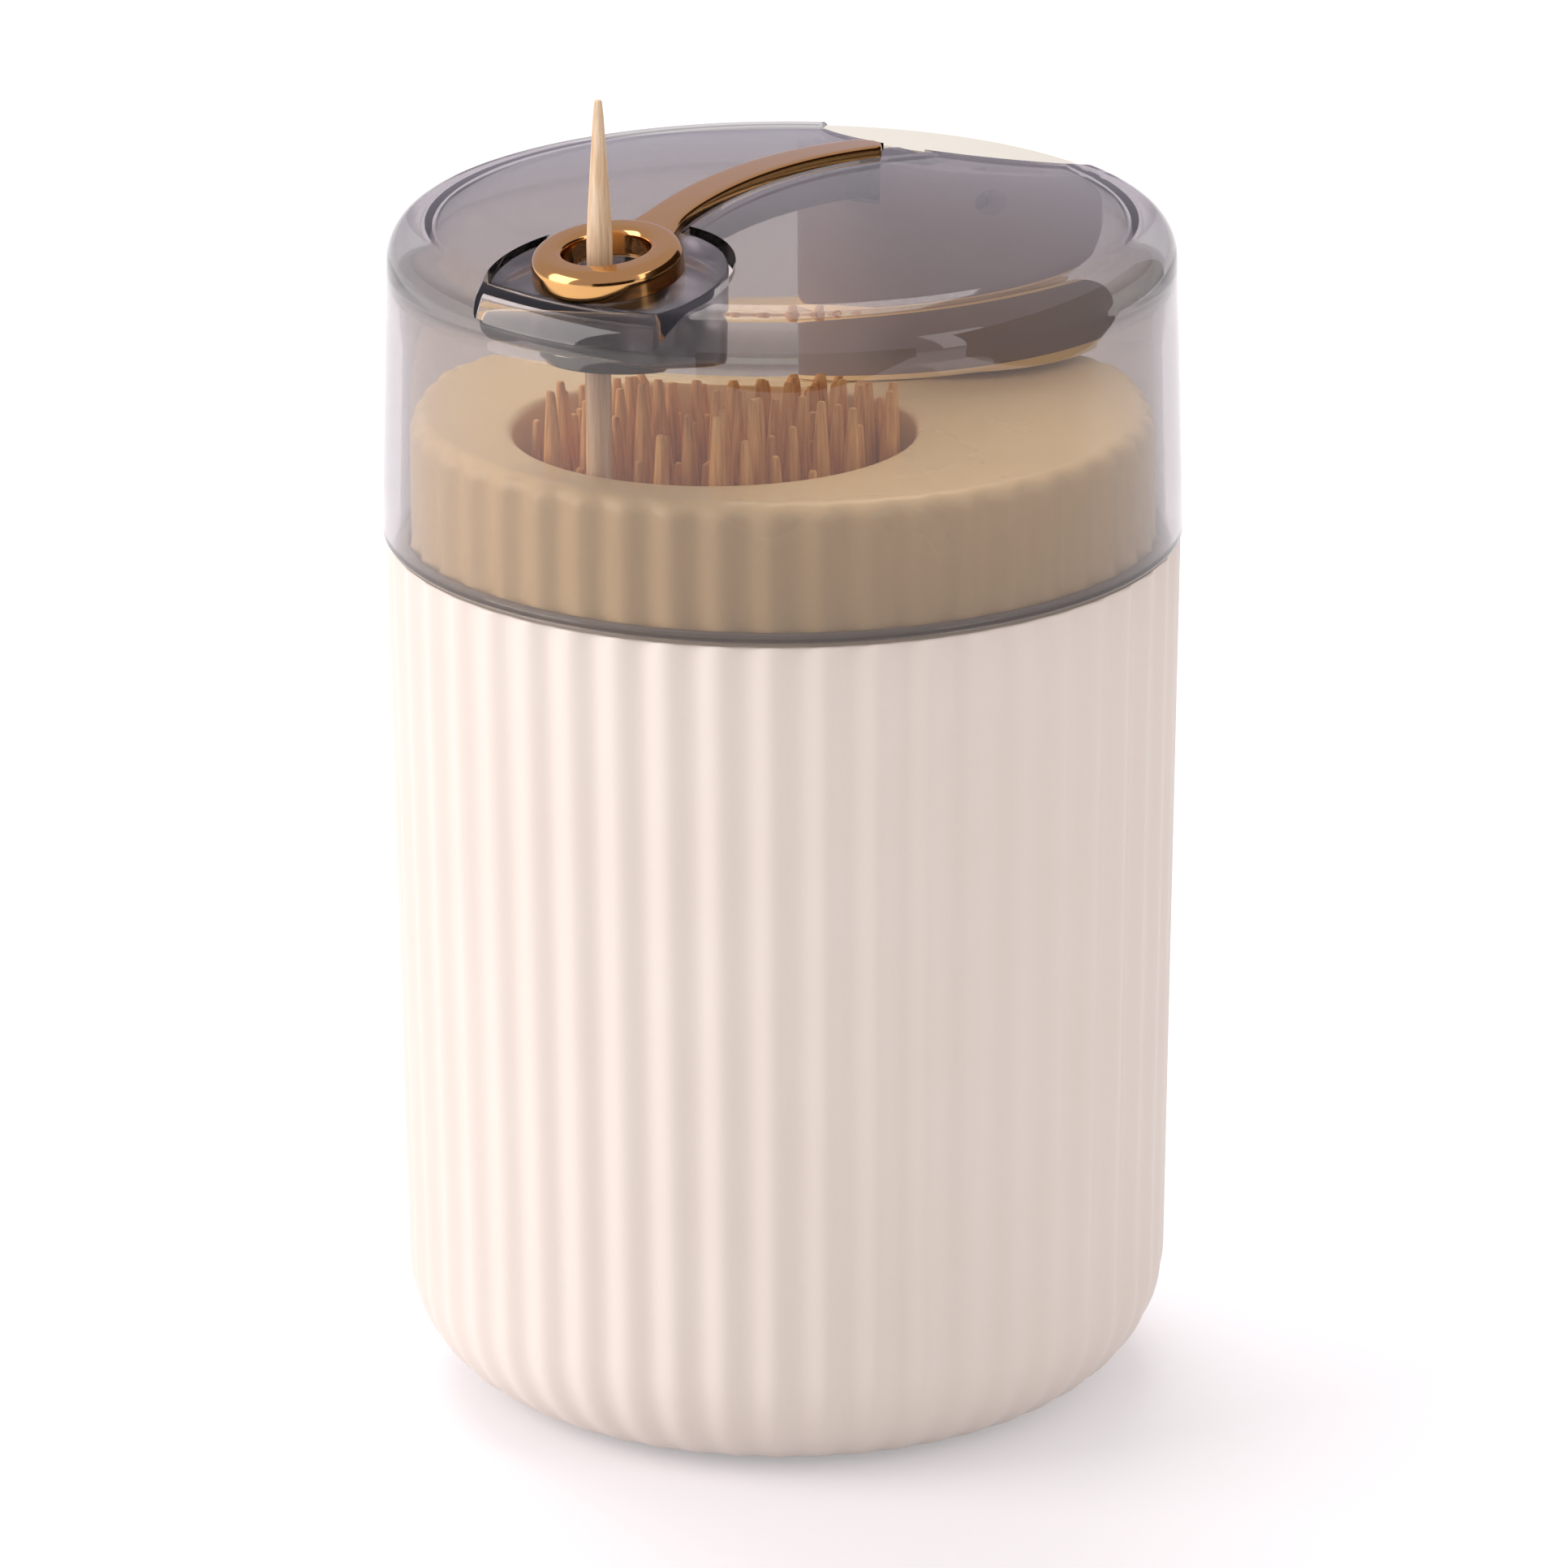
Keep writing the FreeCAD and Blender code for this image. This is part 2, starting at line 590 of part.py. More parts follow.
def gold_ring_trim():
    """Plated ring, tilted with the dome, and its curved tail."""
    ring = ring_solid(RING_R, RING_HOLE_R, -RING_SINK, RING_HEIGHT)
    middle = RING_R + RING_HOLE_R
    rim = lambda e: edge_at(RING_HEIGHT)(e) and e.BoundBox.XLength > middle
    hole = lambda e: edge_at(RING_HEIGHT)(e) and e.BoundBox.XLength < middle
    ring = rounded_edges(rounded_edges(ring, RING_ROUND, rim), RING_HOLE_ROUND, hole)
    tilt = math.degrees(math.asin(-BOSS_Y / DOME_R))
    ring.rotate(V(0, 0, 0), V(1, 0, 0), tilt)
    ring.translate(V(0, BOSS_Y, DOME_Z + math.sqrt(DOME_R**2 - BOSS_Y**2)))
    top = DOME_TOP_Z + RING_HEIGHT
    tail = rib_band(TAIL_HALF, BOSS_Y + RING_HOLE_R + RING_ROUND, TAIL_END_Y, BOSS_BOTTOM_Z, top)
    tail = one_solid(tail.common(dome(TAIL_RISE)))
    low_z = LID_HIGH_Z + LID_FILLET
    high_z = DOME_TOP_Z - TAIL_RISE
    high_edge = lambda e: e.BoundBox.ZMin > low_z and e.BoundBox.ZMax > high_z
    tail = rounded_edges(tail, TAIL_ROUND, high_edge)
    return one_solid(ring.fuse(tail).cut(dome(-FLUSH_DROP + RING_SEAT_GAP)))


def press_pad():
    """Ivory pad that carries on the lid's dome and shoulder, on two posts on the lever."""
    high = DOME_TOP_Z + OVERRUN
    drop = PAD_DROP
    pad = lid_block(LID_LOW_R - drop, LID_HIGH_R - drop, -drop, LID_FILLET, LID_LOW_Z)
    drop = PAD_DROP + PAD_THICK
    below = LID_LOW_Z - OVERRUN
    pad = pad.cut(lid_block(LID_LOW_R - drop, LID_HIGH_R - drop, -drop, LID_INNER_FILLET, below))
    pad = one_solid(pad.common(pad_plan(0, PAD_RIM_Z, high)))
    middle = -PAD_DROP - PAD_THICK / 2
    on_top = lambda e: e.CenterOfMass.z > dome_height(e.CenterOfMass) + middle
    along = lambda e: e.Length > PAD_R and e.CenterOfMass.y < PAD_Y
    pad = rounded_edges(pad, PAD_ROUND, lambda e: on_top(e) and along(e))
    pilot = SCREW_R + SCREW_PILOT_GAP
    for x in (-PAD_POST_X, PAD_POST_X):
        pad = pad.fuse(tube_solid(PAD_POST_R, LEVER_TOP_Z, high, x, PAD_POST_Y).common(dome(middle)))
        pad = pad.cut(tube_solid(pilot, LEVER_TOP_Z - OVERRUN, pad_screw_top(), x, PAD_POST_Y))
    return one_solid(pad)


def dome_height(point):
    """Height of the dome above a place."""
    return DOME_Z + math.sqrt(DOME_R**2 - point.x**2 - point.y**2)


def pad_screw_top():
    """Height where the pad's screws end."""
    return LEVER_UNDER_Z + SCREW_GRIP


def pad_screws():
    """Two screws that hold the pad on the lever."""
    places = (-PAD_POST_X, PAD_POST_X)
    return Part.makeCompound([screw(x, PAD_POST_Y, LEVER_UNDER_Z) for x in places])


def housing_plan(shrink, low, high):
    """Upright block with the housing's outline, drawn in by a wall."""
    block = tube_solid(HOUSING_R - shrink, low, high, 0, HOUSING_Y)
    return block.common(tube_solid(HOUSING_RIM_R - shrink, low, high))


def column_places():
    """Centres of the screw columns with their tops."""
    return [
        (-COLUMN_X, COLUMN_Y, COLUMN_TOP_Z),
        (COLUMN_X, COLUMN_Y, COLUMN_TOP_Z),
        (0.0, FRONT_COLUMN_Y, FRONT_COLUMN_TOP_Z),
    ]


def mechanism_housing():
    """Ivory box under the roof that carries the pin."""
    high = DOME_TOP_Z
    under_roof = dome(-LID_ROOF - HOUSING_ROOF_GAP)
    box = housing_plan(0, HOUSING_FLOOR_Z, high)
    walls = box.cut(housing_plan(HOUSING_WALL, HOUSING_FLOOR_Z - OVERRUN, high + OVERRUN))
    ear_low = PIVOT_Z - EAR_DROP
    for x in (-EAR_IN - EAR_THICK, EAR_IN):
        ear = box_solid(x, x + EAR_THICK, PIVOT_Y - EAR_HALF, PIVOT_Y + EAR_HALF, ear_low, high)
        walls = walls.fuse(ear.common(box))
    for x, y, top in column_places():
        walls = walls.fuse(tube_solid(COLUMN_R, HOUSING_FLOOR_Z, top, x, y))
    walls = walls.common(under_roof)
    low_in = LID_LOW_R - LID_WALL - HOUSING_ROOF_GAP
    high_in = LID_HIGH_R - LID_WALL - HOUSING_ROOF_GAP
    roof = -LID_ROOF - HOUSING_ROOF_GAP
    walls = walls.common(lid_block(low_in, high_in, roof, LID_INNER_FILLET, LID_LOW_Z))
    travel = pad_plan(PAD_GAP, BOSS_BOTTOM_Z - BARREL_R, high)
    walls = walls.cut(travel.cut(dome(-PAD_DROP - PAD_THICK - PAD_TRAVEL)))
    notch_low = dome_height(V(0, HOUSING_Y - HOUSING_R, 0)) - FLUSH_DROP - RIB_DEPTH - NOTCH_GAP
    walls = walls.cut(rib_band(RIB_HALF + NOTCH_GAP, BOSS_Y, PIVOT_Y, notch_low, high))
    start = V(-HOUSING_R, PIVOT_Y, PIVOT_Z)
    walls = walls.cut(Part.makeCylinder(PIN_R + PIN_GAP, 2 * HOUSING_R, start, V(1, 0, 0)))
    pilot = SCREW_R + SCREW_PILOT_GAP
    for x, y, top in column_places():
        walls = walls.cut(tube_solid(pilot, HOUSING_FLOOR_Z - OVERRUN, cover_screw_top(), x, y))
    return one_solid(walls)


def cover_screw_top():
    """Height where the cover's screws end."""
    return HOUSING_BOTTOM_Z + SCREW_HEAD_THICK + SCREW_GRIP


def housing_cover():
    """Floor of the housing, with a post inside the spring and sunk screw heads."""
    cover = housing_plan(0, HOUSING_BOTTOM_Z, HOUSING_FLOOR_Z)
    post_r = SPRING_R - SPRING_WIRE_R - SPRING_POST_GAP
    post_top = HOUSING_FLOOR_Z + SPRING_POST_RISE
    cover = cover.fuse(tube_solid(post_r, HOUSING_BOTTOM_Z, post_top, 0, SPRING_Y))
    low = HOUSING_BOTTOM_Z - OVERRUN
    sink_top = HOUSING_BOTTOM_Z + SCREW_HEAD_THICK
    for x, y, top in column_places():
        cover = cover.cut(tube_solid(SCREW_R + SCREW_PASS_GAP, low, HOUSING_FLOOR_Z + OVERRUN, x, y))
        cover = cover.cut(tube_solid(SCREW_HEAD_R + SCREW_PASS_GAP, low, sink_top, x, y))
    return one_solid(cover)


def housing_screws():
    """Short screws that hold the cover."""
    seat = HOUSING_BOTTOM_Z + SCREW_HEAD_THICK
    return Part.makeCompound([screw(x, y, seat) for x, y, top in column_places()])


def pivot_pin():
    """Steel pin along X in the housing's ears."""
    half = EAR_IN + EAR_THICK
    pin = Part.makeCylinder(PIN_R, 2 * half, V(-half, PIVOT_Y, PIVOT_Z), V(1, 0, 0))
    return pin.makeChamfer(PIN_CHAMFER, [e for e in pin.Edges if e.Closed])


def arc_edge(start, way, end):
    """Arc that leaves a point along a unit direction and ends at another point."""
    chord = end - start
    turn = chord.getAngle(way)
    out = (way - chord * (way.dot(chord) / chord.dot(chord))).normalize()
    middle = (start + end) / 2 + out * (chord.Length / 2 * math.tan(turn / 2))
    return Part.Arc(start, middle, end).toShape()


def biarc(start, way, end, end_way):
    """Two arcs between two points that meet smoothly and keep the direction at each end."""
    chord = end - start
    along = chord.dot(way + end_way)
    bend = 2 * (1 - way.dot(end_way))
    reach = (math.sqrt(along**2 + bend * chord.dot(chord)) - along) / bend
    join = (start + end + (way - end_way) * reach) / 2
    return [arc_edge(start, way, join), arc_edge(end, end_way * -1, join)]


def return_spring():
    """Coil of open turns under the lever, one unbroken tube on quarter-turn biarcs."""
    low = HOUSING_FLOOR_Z + SPRING_WIRE_R + SPRING_SEAT_GAP
    high = LEVER_UNDER_Z - SPRING_WIRE_R - SPRING_SEAT_GAP
    pitch = (high - low) / SPRING_TURNS
    climb = pitch / (2 * math.pi)
    quarter = math.pi / 2

    def place(angle):
        x = SPRING_R * math.cos(angle)
        y = SPRING_Y + SPRING_R * math.sin(angle)
        return V(x, y, low + climb * angle)

    def heading(angle):
        return V(-SPRING_R * math.sin(angle), SPRING_R * math.cos(angle), climb).normalize()

    edges = []
    for k in range(round(2 * math.pi / quarter) * SPRING_TURNS):
        a = k * quarter
        b = a + quarter
        edges += biarc(place(a), heading(a), place(b), heading(b))
    path = Part.Wire(Part.__sortEdges__(edges))
    section = Part.Wire([Part.makeCircle(SPRING_WIRE_R, place(0), heading(0))])
    print_least_gap(place, SPRING_TURNS)
    return path.makePipeShell([section], True, False)


def print_least_gap(place, turns):
    """Measure and print how near the spring's wire comes to itself."""
    per_turn = 48
    points = [place(2 * math.pi * k / per_turn) for k in range(turns * per_turn + 1)]
    apart = per_turn // 2
    least = min(
        (p - q).Length for k, p in enumerate(points) for q in points[k + apart : k + 2 * per_turn]
    )
    print("return spring: least gap between turns %.2f mm" % (least - 2 * SPRING_WIRE_R))


NODES = [
    outer_body,
    foot_ring,
    neck_collar,
    pick_cup,
    cup_floor,
    cup_screws,
    toothpick_bundle,
    rim_gasket,
    lid_shell,
    mechanism_housing,
    housing_cover,
    housing_screws,
    pivot_pin,
    return_spring,
    rocker_arm,
    guide_funnel,
    pick_grip,
    gold_ring_trim,
    press_pad,
    pad_screws,
    dispensed_toothpick,
]


def main():
    """Write one STEP file for each piece."""
    os.makedirs("parts", exist_ok=True)
    for make in NODES:
        shape = make()
        shape.exportStep("parts/%s.step" % make.__name__)
        print(make.__name__, len(shape.Solids), shape.isValid(), round(shape.Volume, 1))


main()
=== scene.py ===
"""Looks, camera and studio of the toothpick dispenser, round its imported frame.

-Y is the end with the pick hole, +Y the end with the press pad. Sizes are in
millimetres, and the mesh functions turn them to metres."""

import bpy
import math
import numpy as np
from mathutils import Matrix, Vector


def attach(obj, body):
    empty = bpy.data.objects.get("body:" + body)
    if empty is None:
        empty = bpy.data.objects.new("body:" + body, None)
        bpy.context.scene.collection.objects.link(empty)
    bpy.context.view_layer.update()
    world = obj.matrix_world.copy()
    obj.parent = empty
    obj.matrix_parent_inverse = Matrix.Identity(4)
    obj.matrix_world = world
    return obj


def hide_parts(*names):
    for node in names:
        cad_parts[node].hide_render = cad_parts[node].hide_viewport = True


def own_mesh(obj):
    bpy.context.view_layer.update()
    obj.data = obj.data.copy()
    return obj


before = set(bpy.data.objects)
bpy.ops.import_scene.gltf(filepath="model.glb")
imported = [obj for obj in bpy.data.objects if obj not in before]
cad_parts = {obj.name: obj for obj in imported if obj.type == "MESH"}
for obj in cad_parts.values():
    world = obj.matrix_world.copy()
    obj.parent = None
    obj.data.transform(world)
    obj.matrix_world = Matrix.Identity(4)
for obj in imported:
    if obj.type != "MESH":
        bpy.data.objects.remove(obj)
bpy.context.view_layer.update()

MM = 0.001

# A turned skin stops this far short of its axis, and its last ring is closed by a fan
AXIS_R = 0.02
# How far closed cutting tools reach above the dome, below the boss and below the rib
TOOL_TOP = 3.0
BOSS_TOOL_DROP = 4.0
BAND_TOOL_DROP = 9.0

# Fluted body and collar. The flutes fade to a share of their depth at the foot and the collar's top
FLUTES = 48
COLUMNS_PER_FLUTE = 12
FLUTE_DEPTH = 0.55
FADE = 0.25
FOOT_Z = 0.3
FOOT_R = 22.5
BASE_ROUND = 11.2
BODY_LOW_R = 33.75
BODY_TOP_R = 34.75
BODY_TOP_Z = 78.0
BODY_IN_LOW_R = 30.9
BODY_IN_TOP_R = 31.9
BODY_FLOOR_Z = 3.2
BODY_IN_ROUND = 8.5
BODY_LIP = 0.3
FOOT_GROOVE = (16.98, 20.48, 1.2)  # inner radius, outer radius, top
NECK_R = 32.5
NECK_TOP_Z = 89.8
NECK_ROUND = 1.7
NECK_IN_R = 30.3
SPIGOT_R = 31.6
SPIGOT_Z = 70.0
PLATE_LOW_Z = 88.0
WELL_R = 17.3
WELL_Y = -10.0
WELL_LIP = 0.8
SCREW_OUT = 22.6
SCREW_ANGLES = (30.0, 90.0, 150.0)
SCREW_BOSS = (2.6, 1.0, 82.0)  # radius, radius of its hole, lower end
SCREW_BOSS_SINK = 0.2

# Lid
LID_LOW_R = 35.0
LID_LOW_Z = 78.3
LID_HIGH_R = 34.3
LID_HIGH_Z = 102.0
LID_WALL = 1.5
LID_ROOF = 1.8
LID_ROUND = 3.6
LID_IN_ROUND = 4.5
LID_LIP = 0.35
DOME_R = 165.0
DOME_TOP_Z = 109.2
DOME_Z = DOME_TOP_Z - DOME_R

# Rocker with its boss and rib
SLOT_GAP = 0.45
SLOT_BACK = 0.25
BOSS_Y = -25.3
BOSS_R = 10.2
BOSS_CUT_R = 31.7
BOSS_LOW_Z = 101.2
BOSS_ROUND = 1.4
BOSS_EDGE = 0.35
FLUSH_DROP = 0.3
ARM_HOLE_R = 3.4
FUNNEL_SEAT = (5.45, 102.8)  # radius and top of the recess
GRIP_SEAT = (4.55, 104.4)
BOW_R = 65.0  # the rib and the tail follow a circle seen from above
BOW_X = 61.9
BOW_Y = -2.3
RIB_HALF = 2.1
RIB_DEPTH = 4.2
RIB_END_Y = 18.9
RIB_START = 1.0
PIVOT = (17.0, 104.0)  # place of the pin along Y and its height
PIN_HOLE_R = 1.04
BARREL_R = 1.9
BARREL_HALF = 4.5
LEVER_HALF = 7.5
LEVER_Y = (20.5, 28.3)
LEVER_Z = (101.6, 103.2)
LEVER_CORNER = 2.0
WEB_INSET = 1.0
WEB_SINK = (0.3, 0.5)  # how far the web runs into the barrel and into the lever

# Gold trim
RING_R = 6.5
RING_HOLE_R = 3.7
RING_RISE = 2.1
RING_ROUND = 1.15
RING_HOLE_ROUND = 0.7
SEAT_DROP = 0.27
TAIL_HALF = 1.85
TAIL_RISE = 0.8
TAIL_END_Y = 15.2
TAIL_ROUND = 0.35
TAIL_TIP = 1.4
FLARE = (0.55, 0.12)  # how much wider the tail starts, and the share of its length that this fades over

# Press pad
PAD_PLACE = (-1.5, 33.5)
PAD_R = 14.4
PAD_DROP = 0.3
PAD_THICK = 2.2
PAD_RIM_Z = 102.6
PAD_NOTCH_Z = 99.7
PAD_GAP = 0.4
PAD_FORM_DROP = 6.0
PAD_POST = (2.2, 5.0, 23.4)  # radius, place to each side, place along Y
PAD_POST_SINK = 1.0

# Picks
PICK_R = 1.1
PICK_LENGTH = 65.0
PICK_TAPER = 12.0
PICK_TIP_R = 0.35
TAPER_POWER = 0.85
TIP_START = (0.03, 0.18)  # heights of the first two rings of the tip
OUT_OF_ROUND = (0.02, 3.7)  # share of the radius, and millimetres per radian of its wave
PICK_FLOOR_Z = 22.7
PICK_PLACE = (-0.6, -25.7)
PICK_TOP_Z = 122.0
GRID_LOW = 2.62
GRID_HIGH = 2.86
GRID_REACH = 8
CUP_EASE = 0.4
PICK_ROOM = 0.9
RISE = 8.5
SWAY = 0.8
SWAY_SPAN = 30.0
STRAY = 0.45
# The picks stand tallest at the photo's right: its direction, and the power of the seeded share at
# the middle of the cup, with what the power loses towards that side
TALL_SIDE = (0.81, 0.58)
LIFT_POWER = (1.2, 0.7)

# Return spring: coil and wire radius, turns, place along Y, and lowest and highest wire middle
SPRING_R = 2.4
SPRING_WIRE_R = 0.25
SPRING_TURNS = 6
SPRING_Y = 26.0
SPRING_Z = (93.1, 101.3)

# Gasket
GASKET_R = (32.6, 33.15, 34.6)
GASKET_Z = (78.0, 78.3, 78.9)
GASKET_EDGE = 0.12


def node(tree, kind, settings=None, links=None):
    """Add a shader node, set its properties and sockets, and link sockets from (node, output) pairs."""
    made = tree.nodes.new(kind)
    for name, value in (settings or {}).items():
        if isinstance(name, int) or (name in made.inputs and not hasattr(made, name)):
            made.inputs[name].default_value = value
        else:
            setattr(made, name, value)
    for name, (source, output) in (links or {}).items():
        tree.links.new(source.outputs[output], made.inputs[name])
    return made


def linear(code):
    """Linear colour of an sRGB hex code."""
    parts = [int(code[i : i + 2], 16) / 255 for i in (0, 2, 4)]
    lit = [c / 12.92 if c <= 0.04045 else ((c + 0.055) / 1.055) ** 2.4 for c in parts]
    return (*lit, 1.0)


def new_material(name):
    """Empty node material with its output node."""
    material = bpy.data.materials.new(name)
    material.use_nodes = True
    tree = material.node_tree
    tree.nodes.clear()
    return material, tree, node(tree, "ShaderNodeOutputMaterial")


def noise(tree, vector, size_mm, detail):
    """Noise with a grain size in millimetres, over a (node, output) pair of coordinates."""
    return node(
        tree, "ShaderNodeTexNoise", {"Scale": 1 / (size_mm * MM), "Detail": detail}, {"Vector": vector}
    )


def bump_from(tree, height, strength, distance_mm):
    """Bump of a height in millimetres from a noise node."""
    settings = {"Strength": strength, "Distance": distance_mm * MM}
    return node(tree, "ShaderNodeBump", settings, {"Height": (height, "Fac")})


def between(tree, source, low, high):
    """Value that runs from low to high with the strength of a noise node."""
    return node(tree, "ShaderNodeMapRange", {"To Min": low, "To Max": high}, {"Value": (source, "Fac")})


def shades(tree, factor, first, second):
    """Mix of two sRGB codes by the value of a (node, output) pair."""
    mixed = node(tree, "ShaderNodeMix", {"data_type": "RGBA"}, {0: factor})
    mixed.inputs[6].default_value = linear(first)
    mixed.inputs[7].default_value = linear(second)
    return mixed


def any_ray(tree, path, *kinds):
    """1 where the ray is of any of these kinds of the light path."""
    found = (path, kinds[0])
    for kind in kinds[1:]:
        found = (node(tree, "ShaderNodeMath", {"operation": "MAXIMUM"}, {0: found, 1: (path, kind)}), 0)
    return found


def moulded_plastic(name, pale, deep, roughness, grain_mm, mottle_mm, grain_height):
    """Opaque moulded plastic: two close shades mixed by a slow noise, a fine spark-eroded grain
    that tips the surface, and a roughness that drifts a little with the mottle."""
    material, tree, out = new_material(name)
    place = (node(tree, "ShaderNodeTexCoord"), "Object")
    mottle = noise(tree, place, mottle_mm, 3.0)
    shade = shades(tree, (mottle, "Fac"), pale, deep)
    gloss = between(tree, mottle, roughness - 0.04, roughness + 0.05)
    bump = bump_from(tree, noise(tree, place, grain_mm, 2.0), 0.25, grain_height)
    body = node(
        tree,
        "ShaderNodeBsdfPrincipled",
        {"IOR": 1.53},
        {"Base Color": (shade, 2), "Roughness": (gloss, 0), "Normal": (bump, 0)},
    )
    tree.links.new(body.outputs[0], out.inputs[0])
    return material


def clear_plastic(name, tint, edge_tint, lamp_tint, roughness, ripple_mm):
    """Polished see-through plastic with a slow ripple of the mould's polish. A wall seen square on takes
    the tint, and one seen along itself the edge tint, because the way through it is longer. Lamps
    reach what is behind it through the lamp tint."""
    material, tree, out = new_material(name)
    place = (node(tree, "ShaderNodeTexCoord"), "Object")
    ripple = noise(tree, place, ripple_mm, 1.0)
    bump = bump_from(tree, ripple, 0.2, 0.02)
    gloss = between(tree, ripple, roughness, roughness + 0.02)
    slant = node(tree, "ShaderNodeLayerWeight", {"Blend": 0.5})
    depth = node(
        tree, "ShaderNodeMapRange", {"From Min": 0.4, "From Max": 0.95}, {"Value": (slant, "Facing")}
    )
    shade = shades(tree, (depth, 0), tint, edge_tint)
    body = node(
        tree,
        "ShaderNodeBsdfPrincipled",
        {"IOR": 1.57, "Transmission Weight": 1.0},
        {"Base Color": (shade, 2), "Roughness": (gloss, 0), "Normal": (bump, 0)},
    )
    open_way = node(tree, "ShaderNodeBsdfTransparent", {"Color": linear(lamp_tint)})
    path = node(tree, "ShaderNodeLightPath")
    both = node(
        tree, "ShaderNodeMixShader", {}, {0: (path, "Is Shadow Ray"), 1: (body, 0), 2: (open_way, 0)}
    )
    tree.links.new(both.outputs[0], out.inputs[0])
    return material


def plated_gold():
    """Vacuum-plated gold on moulded plastic: bright, warm, with a faint orange-peel ripple."""
    material, tree, out = new_material("plated_gold")
    place = (node(tree, "ShaderNodeTexCoord"), "Object")
    peel = noise(tree, place, 1.6, 2.0)
    bump = bump_from(tree, peel, 0.12, 0.03)
    gloss = between(tree, peel, 0.09, 0.15)
    body = node(
        tree,
        "ShaderNodeBsdfPrincipled",
        {"Base Color": linear("DCAA6C"), "Metallic": 1.0},
        {"Roughness": (gloss, 0), "Normal": (bump, 0)},
    )
    tree.links.new(body.outputs[0], out.inputs[0])
    return material


def tumbled_birch(name, pale, deep):
    """Birch turned to picks and tumbled: pale wood with darker fibres along the pick. Fibres are
    drawn 0.35 mm wide and about 9 mm long, coarser than real ones, so that they show."""
    material, tree, out = new_material(name)
    place = (node(tree, "ShaderNodeTexCoord"), "Object")
    across, lengthwise = 1 / (0.35 * MM), 1 / (9.0 * MM)
    grain = node(tree, "ShaderNodeMapping", {"Scale": (across, across, lengthwise)}, {"Vector": place})
    settings = {"Scale": 1.0, "Detail": 4.0, "Roughness": 0.6}
    fibre = node(tree, "ShaderNodeTexNoise", settings, {"Vector": (grain, 0)})
    spread = node(
        tree, "ShaderNodeMapRange", {"From Min": 0.35, "From Max": 0.68}, {"Value": (fibre, "Fac")}
    )
    shade = shades(tree, (spread, 0), pale, deep)
    bump = bump_from(tree, fibre, 0.5, 0.04)
    gloss = between(tree, fibre, 0.5, 0.7)
    body = node(
        tree,
        "ShaderNodeBsdfPrincipled",
        {"IOR": 1.45},
        {"Base Color": (shade, 2), "Roughness": (gloss, 0), "Normal": (bump, 0)},
    )
    tree.links.new(body.outputs[0], out.inputs[0])
    return material


def plain_metal(name, code, roughness, scratch_mm):
    """Plated or drawn steel with fine brushed scratches across Z, eight times as long as apart."""
    material, tree, out = new_material(name)
    place = (node(tree, "ShaderNodeTexCoord"), "Object")
    along, across = 1 / (8 * scratch_mm * MM), 1 / (scratch_mm * MM)
    lie = node(tree, "ShaderNodeMapping", {"Scale": (along, along, across)}, {"Vector": place})
    scratch = node(tree, "ShaderNodeTexNoise", {"Scale": 1.0, "Detail": 3.0}, {"Vector": (lie, 0)})
    gloss = between(tree, scratch, roughness - 0.08, roughness + 0.1)
    bump = bump_from(tree, scratch, 0.2, 0.02)
    body = node(
        tree,
        "ShaderNodeBsdfPrincipled",
        {"Base Color": linear(code), "Metallic": 1.0},
        {"Roughness": (gloss, 0), "Normal": (bump, 0)},
    )
    tree.links.new(body.outputs[0], out.inputs[0])
    return material


# Spark-eroded ABS gives a satin skin with soft highlights
ivory_abs = moulded_plastic("ivory_abs_satin", "F1E7E0", "EDE1D9", 0.4, 0.35, 14.0, 0.02)
# The collar is a deeper beige moulding, polished more than the body
beige_abs = moulded_plastic("beige_abs_polished", "F6DEB2", "F0D2A2", 0.28, 0.5, 12.0, 0.01)
# Cream pad, a little greener than the body
cream_abs = moulded_plastic("cream_abs_satin", "E9E5D9", "E4DFD1", 0.38, 0.35, 10.0, 0.02)
# Styrene acrylonitrile from a polished mould: clear, hard and glassy
smoky_san = clear_plastic("smoky_san_polished", "C4BFBC", "9C98A0", "F8F4F0", 0.01, 9.0)
# The same plastic in a darker shade for the rocker
dark_san = clear_plastic("dark_smoky_san_polished", "6C666B", "6C666B", "B9B4BA", 0.16, 6.0)
# Satin, softly etched plastic of the mechanism box, painted a dark mauve over a paler moulding: painted
# shade of its dim place under the lid and pad
mauve_abs_painted_shade = moulded_plastic("mauve_abs_satin", "96888B", "877A7C", 0.5, 0.5, 12.0, 0.02)
# Vacuum plating over the moulded ring and tail
gold = plated_gold()
# Birch picks, and the same wood in the cup painted deeper and oranger all over: painted shade and bounce
# light between the packed picks
birch = tumbled_birch("tumbled_birch", "F4DEC2", "D9B188")
cup_birch_painted_shade = tumbled_birch("tumbled_birch_painted_shade_in_cup", "F9C680", "CF8E48")
# Moulded silicone: dull, slightly clear grey rubber
grey_silicone = moulded_plastic("grey_silicone_moulded", "8E8379", "7E736A", 0.55, 0.4, 6.0, 0.01)
# Zinc on steel screws, and bright drawn wire
zinc_steel = plain_metal("zinc_plated_steel", "B9BBC0", 0.3, 0.12)
drawn_steel = plain_metal("drawn_spring_steel", "A9ABAE", 0.25, 0.1)


